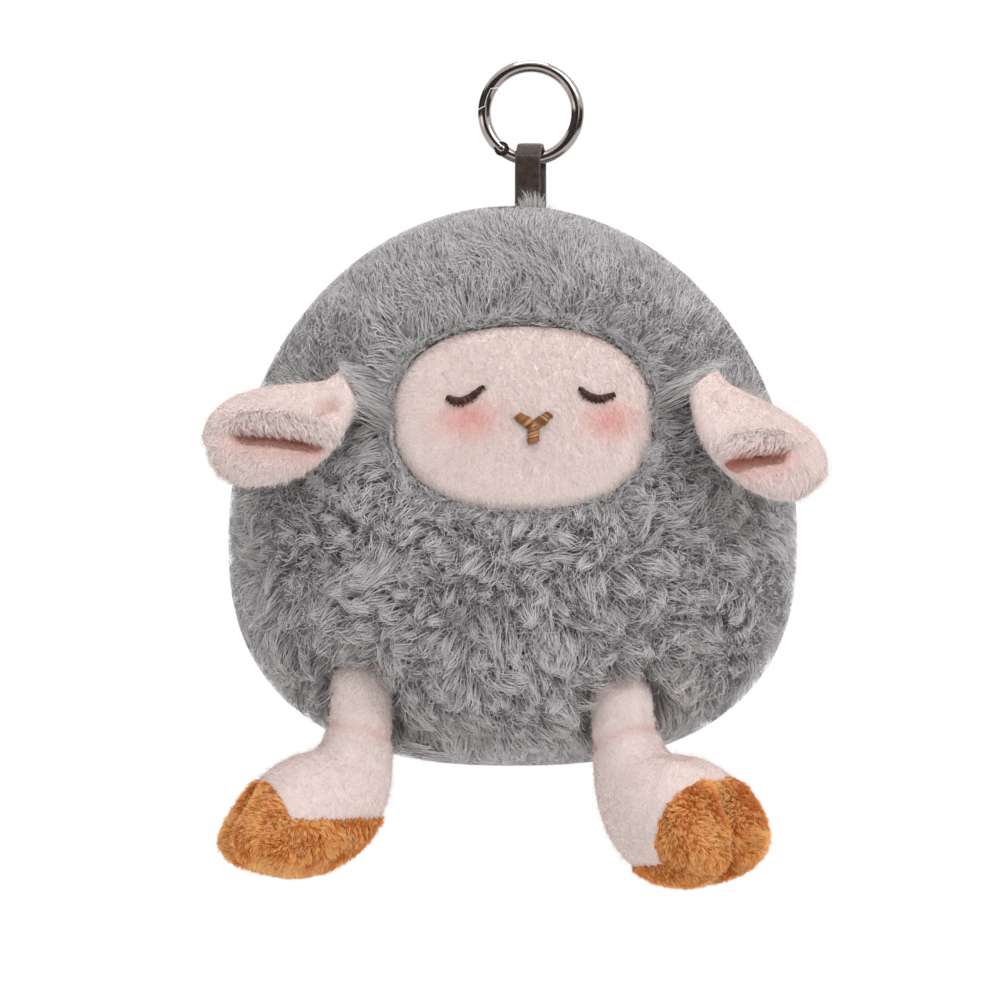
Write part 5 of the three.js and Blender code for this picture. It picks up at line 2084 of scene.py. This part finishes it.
@dataclass
class Strap:
    """The leather loop that hangs on the ring's wire, its two layers sewn into the crown."""

    swing_z: float = -20.5
    bend: float = 3.193
    layer: float = 0.8
    narrow_z: float = -27.0
    bottom_z: float = -37.0
    width: float = 6.0
    offset: float = -0.8
    thickness: float = 1.2
    back_shift: float = 1.4
    corners: tuple[float, float] = (2 / 7, 2 / 4)
    rings: int = 130
    sides: int = 48
    fur_spread: float = 3.4
    fur_depth: tuple[float, float] = (1.6, 5.0)
    fur_height: tuple[float, float] = (4.0, 10.6)
    fur_start: float = -38.5
    clearance: float = 1.7
    fur: Pile = Pile(count=1500, length=6.0, width=0.15, segments=5, wave=0.25, twist=45.0)
    tuft: Tuft = Tuft(14, 0.5)
    seed: int = 91

    def build(self) -> None:
        """Builds the loop as one bent strip with rounded edges."""
        path = [(self.layer, self.bottom_z, 1.0), (self.layer, self.narrow_z, 1.0)]
        for step in range(17):
            turn = math.pi * step / 16
            path.append((
                self.bend * math.cos(turn), self.swing_z + self.bend * math.sin(turn),
                1 - step / 16,
            ))
        path += [(-self.layer, self.narrow_z, 0.0), (-self.layer, self.bottom_z, 0.0)]
        y, z, back = smooth_rows(np.array(path), self.rings).T
        spine = points_of(0.0, y, z)
        out = np.cross(np.array([1.0, 0, 0]), unit(np.gradient(spine, axis=0)))
        turn = circle(self.sides)
        wide = signed_power(np.cos(turn), self.corners[0]) * self.width / 2
        thick = signed_power(np.sin(turn), self.corners[1]) * self.thickness / 2
        rings = spine[:, None] + out[:, None] * thick[:, None]
        rings[:, :, 0] += wide + (self.offset + self.back_shift * back)[:, None]
        skin = ringed_skin(rings, rings[0].mean(axis=0), rings[-1].mean(axis=0)).facing_out()
        edge = eased(np.abs(wide), self.width / 2 - 0.45, self.width / 2 - 0.05)
        edge = np.tile(edge, self.rings)
        skin.marks["edge"] = np.append(edge, [1.0, 1.0])
        settle(skin_piece("leather_loop", skin, LEATHER), "torso", "strap_leather", "strap_loop")
        self._base_fur()

    def _base_fur(self) -> None:
        """Tufts of the body's fur that stand up in front of and behind the strap's base."""
        rng = np.random.default_rng(self.seed)
        count = self.fur.count
        front = np.where(rng.random(count) < 0.6, -1.0, 1.0)
        x = self.offset + rng.normal(size=count) * self.fur_spread
        y = front * rng.uniform(*self.fur_depth, count)
        start = points_of(x, y, self.fur_start)
        lean = rng.normal(size=(count, 2)) * 1.7
        tall = rng.uniform(*self.fur_height, count) * bell(x - self.offset - 1.2, 5.5) + 1.2
        end = start + points_of(lean[:, 0], lean[:, 1] * 0.3 - 0.4 * y, tall)
        room = self.clearance
        end[:, 1] = np.where(np.abs(end[:, 1]) < room, front * room, end[:, 1])
        middle = (start + end) / 2 + points_of(-lean[:, 0] * 0.6, y * 0.1, tall * 0.2)
        normals = points_of(0.0, front, 0.0)
        strands = arched_strands(start, middle, end, normals, self.fur, rng)
        made = strand_piece("strap_base_fur", strands.tufted(self.tuft, rng), GREY_FUR)
        settle(made, "torso", "grey_fur", "body_front_panel")


# The ring


def turned_skin(profile: Sequence[tuple[float, float]], sides: int) -> Skin:
    """A solid of revolution about the Y axis from rows of radius and Y.

    Args:
        profile: The rows, from one end to the other.
        sides: Points round the axis.

    Returns:
        The closed skin.
    """
    turn = circle(sides)
    rings = [points_of(radius * np.cos(turn), y, radius * np.sin(turn)) for radius, y in profile]
    start, end = ((0.0, profile[place][1], 0.0) for place in (0, -1))
    return ringed_skin(np.array(rings), np.array(start), np.array(end)).facing_out()


def moved_to(skin: Skin, place: Array) -> Skin:
    """A skin moved by a vector."""
    return skin.moved(lambda points: points + place)


@dataclass
class Solid:
    """A closed solid, which other solids change."""

    mesh: bpy.types.Mesh

    @classmethod
    def of(cls, skin: Skin) -> "Solid":
        """A solid of a closed skin."""
        mesh = bpy.data.meshes.new("solid")
        mesh.from_pydata(skin.points.tolist(), [], skin.faces)
        return cls(mesh)

    def changed(self, cut: Cut, other: "Solid") -> "Solid":
        """This solid after another one has cut, kept or joined it.

        Args:
            cut: How it is changed.
            other: The other solid.

        Returns:
            The changed solid.
        """
        scene = bpy.context.scene.collection
        base = bpy.data.objects.new("base", self.mesh)
        tool = bpy.data.objects.new("tool", other.mesh)
        for made in (base, tool):
            scene.objects.link(made)
        change = base.modifiers.new("change", "BOOLEAN")
        change.operation = cut.value
        change.solver = "MANIFOLD"
        change.object = tool
        graph = bpy.context.evaluated_depsgraph_get()
        mesh = bpy.data.meshes.new_from_object(base.evaluated_get(graph))
        for made in (base, tool):
            bpy.data.objects.remove(made)
        return Solid(mesh)

    def piece(self, name: str, finish: Finish, soft_edge: float) -> bpy.types.Object:
        """The solid as a piece, its edges a little rounded.

        Args:
            name: The piece's name.
            finish: Its finish.
            soft_edge: The radius of its rounded edges.

        Returns:
            The piece's object.
        """
        self.mesh.transform(Matrix.Scale(MM, 4))
        self.mesh.materials.clear()
        made = add_object(name, self.mesh, finish)
        rounding = made.modifiers.new("rounding", "BEVEL")
        rounding.width = soft_edge * MM
        rounding.segments = 2
        rounding.angle_limit = math.radians(35)
        rounding.harden_normals = True
        self.mesh.polygons.foreach_set("use_smooth", np.ones(len(self.mesh.polygons), bool))
        self.mesh.set_sharp_from_angle(angle=math.radians(35))
        return made


@dataclass
class Ring:
    """The spring-gate ring: a round wire whose side swings in on a rivet."""

    radius: float = 11.0
    wire: float = 1.5
    hinge_angle: float = 231.0
    lip_angle: float = 173.0
    tip_angle: float = 150.0
    tip_margin: float = 20.0
    knuckle: float = 1.7
    knuckle_thickness: float = 2.7
    tongue: float = 1.45
    tongue_thickness: float = 1.2
    gap: float = 0.12
    rivet_head: float = 0.8
    head_height: float = 0.3
    tongue_room: float = 1.4
    sector_depth: float = 7.0
    inner_depth: float = 6.5
    lip_thickness: float = 12.0
    tip_thickness: float = 11.0
    end_gap: float = 1.6
    wire_rings: int = 180
    wire_sides: int = 36

    def build(self) -> None:
        """Builds the ring's body, gate and rivet, and dresses the spring and plunger."""
        wire = Solid.of(self._wire())
        pocket = self._gate_region(self.gap)
        body = wire.changed(Cut.REMOVE, pocket)
        body = body.changed(Cut.REMOVE, self._disc(self.knuckle + self.gap))
        tongue = wire.changed(Cut.KEEP, self._slab(self.tongue_thickness))
        tongue = tongue.changed(Cut.KEEP, self._disc(self.tongue + self.tongue_room))
        tongue = tongue.changed(
            Cut.REMOVE, pocket.changed(Cut.REMOVE, self._disc(self.tongue))
        )
        body = body.changed(Cut.JOIN, tongue)
        settle(body.piece("ring_wire", NICKEL, 0.1), "ring", "ring_nickel", "ring_body")
        slot = self._slab(self.tongue_thickness + 2 * self.gap)
        slot = slot.changed(Cut.KEEP, self._disc(self.knuckle + 2 * self.gap))
        knuckle = self._disc(self.knuckle, self.knuckle_thickness)
        gate = wire.changed(Cut.KEEP, self._gate_region(0.0)).changed(Cut.JOIN, knuckle)
        gate = gate.changed(Cut.REMOVE, slot)
        settle(gate.piece("spring_gate", NICKEL, 0.1), "gate", "ring_nickel", "ring_gate")
        top = self.knuckle_thickness / 2 + self.gap / 2 + self.head_height
        crown = self.rivet_head - self.head_height
        half = [
            (crown * 0.5, top), (crown, top - 0.03), (self.rivet_head - 0.08, top - 0.16),
            (self.rivet_head, top - self.head_height),
        ]
        profile = [(radius, -y) for radius, y in half] + half[::-1]
        rivet = Solid.of(moved_to(turned_skin(profile, 40), self._rivet()))
        settle(rivet.piece("rivet", NICKEL, 0.03), "gate", "ring_nickel", "gate_rivet")
        for node in ("gate_spring", "gate_plunger"):
            bpy.data.objects[node].material_slots[0].material = SPRING_STEEL.material()

    def _centre(self) -> Array:
        """The ring's middle."""
        return np.array([0.0, 0.0, self.wire - self.radius])

    def _on_ring(self, angle: float, radius: Optional[float] = None) -> Array:
        """A point of the ring's circle, or of one with another radius."""
        turn = math.radians(angle)
        reach = self.radius if radius is None else radius
        return self._centre() + reach * np.array([math.cos(turn), 0.0, math.sin(turn)])

    def _rivet(self) -> Array:
        """The rivet's middle."""
        return self._on_ring(self.hinge_angle)

    def _wire(self) -> Skin:
        """The whole ring of wire.

        Returns:
            The closed skin.
        """
        around, across = circle(self.wire_rings)[:, None], circle(self.wire_sides)
        reach = self.radius + self.wire * np.cos(across)
        rings = points_of(
            reach * np.cos(around), self.wire * np.sin(across), reach * np.sin(around)
        )
        skin = ringed_skin(np.concatenate([rings, rings[:1]]) + self._centre())
        count = self.wire_rings * self.wire_sides
        faces = [tuple(point % count for point in face) for face in skin.faces]
        return Skin(skin.points[:count], faces).facing_out()

    def _disc(self, radius: float, thickness: float = 12.0) -> Solid:
        """A disc along Y about the rivet."""
        profile = [(radius, -thickness / 2), (radius, thickness / 2)]
        return Solid.of(moved_to(turned_skin(profile, 96), self._rivet()))

    def _slab(self, thickness: float) -> Solid:
        """A slab across Y = 0, wider than the ring.

        Args:
            thickness: Its thickness along Y.

        Returns:
            The slab.
        """
        reach, half = 3 * self.radius, thickness / 2
        ring = np.insert(np.array(SQUARE), 1, 0, axis=1) * reach
        rings = np.stack([ring + [0, -half, 0], ring + [0, half, 0]])
        skin = ringed_skin(rings, np.array([0, -half, 0]), np.array([0, half, 0]))
        return Solid.of(skin.facing_out())

    def _gate_region(self, gap: float) -> Solid:
        """The gate's share of the wire. Its end steps are arcs about the rivet, so it can swing.

        Args:
            gap: The room round it, or 0 for the gate itself.

        Returns:
            The share. No two of the solids it is made from end at the same depth, because the
            solver can't join solids whose ends lie in one plane.
        """
        beyond = self.tip_angle - self.tip_margin
        middle = (self.hinge_angle + beyond) / 2
        reach = 4 * self.radius
        spokes = [self._on_ring(angle, reach) for angle in (beyond, middle, self.hinge_angle)]
        outline = np.array([self._centre(), *spokes])
        sides = np.stack([outline - [0, self.sector_depth, 0], outline + [0, self.sector_depth, 0]])
        sector = ringed_skin(sides, sides[0].mean(axis=0), sides[1].mean(axis=0)).facing_out()
        split = self.radius + gap - self.gap / 2
        profile = [(split, -self.inner_depth), (split, self.inner_depth)]
        inner = Solid.of(moved_to(turned_skin(profile, 180), self._centre()))
        ends = ((self.lip_angle, self.lip_thickness), (self.tip_angle, self.tip_thickness))
        lip, tip = (
            self._disc(self._from_rivet(angle) + self.end_gap * gap, thickness)
            for angle, thickness in ends
        )
        share = lip.changed(Cut.JOIN, inner.changed(Cut.KEEP, tip))
        return Solid.of(sector).changed(Cut.KEEP, share)

    def _from_rivet(self, angle: float) -> float:
        """How far a point of the ring's circle lies from the rivet."""
        return np.linalg.norm(self._on_ring(angle) - self._rivet())


# The studio


@dataclass(frozen=True)
class Lamp:
    """One soft square lamp, aimed at the toy. Its place and size are metres."""

    name: str
    place: Place
    size: float
    power: float

    def build(self, aim: Array) -> None:
        """Adds the lamp, turned to its aim.

        Args:
            aim: The place it is turned to, in millimetres.
        """
        data = bpy.data.lights.new(self.name, "AREA")
        data.size = self.size
        data.energy = self.power
        lamp = bpy.data.objects.new(self.name, data)
        lamp.location = self.place
        towards = Vector(aim * MM) - Vector(self.place)
        lamp.rotation_euler = towards.to_track_quat("-Z", "Y").to_euler()
        bpy.context.scene.collection.objects.link(lamp)


@dataclass
class Studio:
    """The camera at the photograph's place, soft lamps, a white world and a pale floor."""

    aim: Array = field(default_factory=lambda: np.array([-7.31, 0.0, -100.85]))
    distance: float = 2400.0
    view_width: float = 235.8
    sensor: float = 36.0
    floor_z: float = -0.30
    floor_radius: float = 1.5
    floor_sides: int = 64
    ambient: float = 0.39
    card_height: float = 0.16
    cards: tuple = (
        ((-0.5, -0.7, 0.30), 2.2), ((0.1, -0.9, -0.40), 2.6), ((0.9, -0.35, -0.1), 1.4),
        ((-0.9, 0.3, 0.2), 1.6),
    )
    lamps: tuple[Lamp, ...] = (
        Lamp("key lamp", (0.78, -0.90, 0.68), 0.7, 8.6),
        Lamp("top lamp", (0.0, -0.25, 1.25), 0.8, 8.5),
        Lamp("fill lamp", (-1.0, -0.8, 0.15), 0.9, 2.6),
        Lamp("back lamp", (0.2, 1.1, 0.7), 0.8, 6.5),
    )

    def build(self) -> None:
        """Sets up the camera, the lamps, the world and the floor."""
        scene = bpy.context.scene
        scene.view_settings.view_transform = "Standard"
        data = bpy.data.cameras.new("photo camera")
        data.sensor_width = self.sensor
        data.lens = self.sensor * self.distance / self.view_width
        data.clip_start = 0.05
        camera = bpy.data.objects.new("photo camera", data)
        camera.location = Vector((self.aim - np.array([0, self.distance, 0])) * MM)
        camera.rotation_euler = (math.pi / 2, 0, 0)
        scene.collection.objects.link(camera)
        scene.camera = camera
        for lamp in self.lamps:
            lamp.build(self.aim)
        world = bpy.data.worlds.new("white studio")
        world.use_nodes = True
        scene.world = world
        bench = Bench(world.node_tree)
        seen = seen_directly(bench)
        feeds = {"Color": opaque((1, 1, 1)), "Strength": seen + (1 - seen) * self.ambient}
        back = bench.node("ShaderNodeBackground", {}, feeds)
        bench.node("ShaderNodeOutputWorld", {}, {"Surface": back})
        self._floor()
        for number, (place, size) in enumerate(self.cards):
            self._card(f"dark_card_{number}", np.array(place), size)

    def _card(self, name: str, place: Array, size: float) -> None:
        """A dark card that only polished metal sees, facing the ring.

        Args:
            name: Its name.
            place: Its middle in metres.
            size: Its width in metres.
        """
        side = unit(np.cross(place, UP)) * size / 2
        rise = unit(np.cross(side, place)) * size * self.card_height
        mesh = bpy.data.meshes.new(name)
        corners = [list(place + side * across + rise * up) for across, up in SQUARE]
        mesh.from_pydata(corners, [], [(0, 1, 2, 3)])
        card = add_object(name, mesh, DARK_CARD)
        card.visible_camera = card.visible_diffuse = False
        card.visible_shadow = card.visible_transmission = False

    def _floor(self) -> None:
        """A round pale floor below the hanging toy."""
        turn = circle(self.floor_sides)
        reach = self.floor_radius
        ring = points_of(np.cos(turn) * reach, np.sin(turn) * reach, self.floor_z)
        mesh = bpy.data.meshes.new("floor")
        mesh.from_pydata(ring.tolist(), [], [tuple(range(self.floor_sides))])
        add_object("floor", mesh, WHITE_FLOOR)


def main() -> None:
    """Builds every piece in order."""
    logging.basicConfig(level=logging.INFO, format="%(name)s: %(message)s")
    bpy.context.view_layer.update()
    Studio().build()
    Ring().build()
    Strap().build()
    legs = (LegPlace(Side.LEFT, 0.0, 75.0, -2.3), LegPlace(Side.RIGHT, 5.0, 50.0, 8.5))
    form, oval = BodyForm(), FaceForm()
    FurBody(form, oval, legs).build()
    Face(form, oval).build()
    FaceFringe(form, oval).build()
    ears = (
        EarPlace(Side.LEFT, (-0.77619, 0.28996, -0.55987), 18.0, (4.4, 12.6), (24.4, -0.4)),
        EarPlace(Side.RIGHT, (0.52821, 0.07185, -0.84607), 20.0, (12.2, 16.8), (21.9, 1.9), 0.3),
    )
    for place in ears:
        ear = Ear(place)
        ear.build()
        Ruff(ear, form).build()
    Leg(legs[0], 15.0).build()
    instep = (0.042, 0.068, 0.088, 0.124, 0.20, 0.315, 0.483, 0.65)
    Leg(
        legs[1], 7.0, length=9.5, foot_height=35.4, cap_side=18.2, cap_top=38.0, top_down=instep
    ).build()


if __name__ == "__main__":
    main()
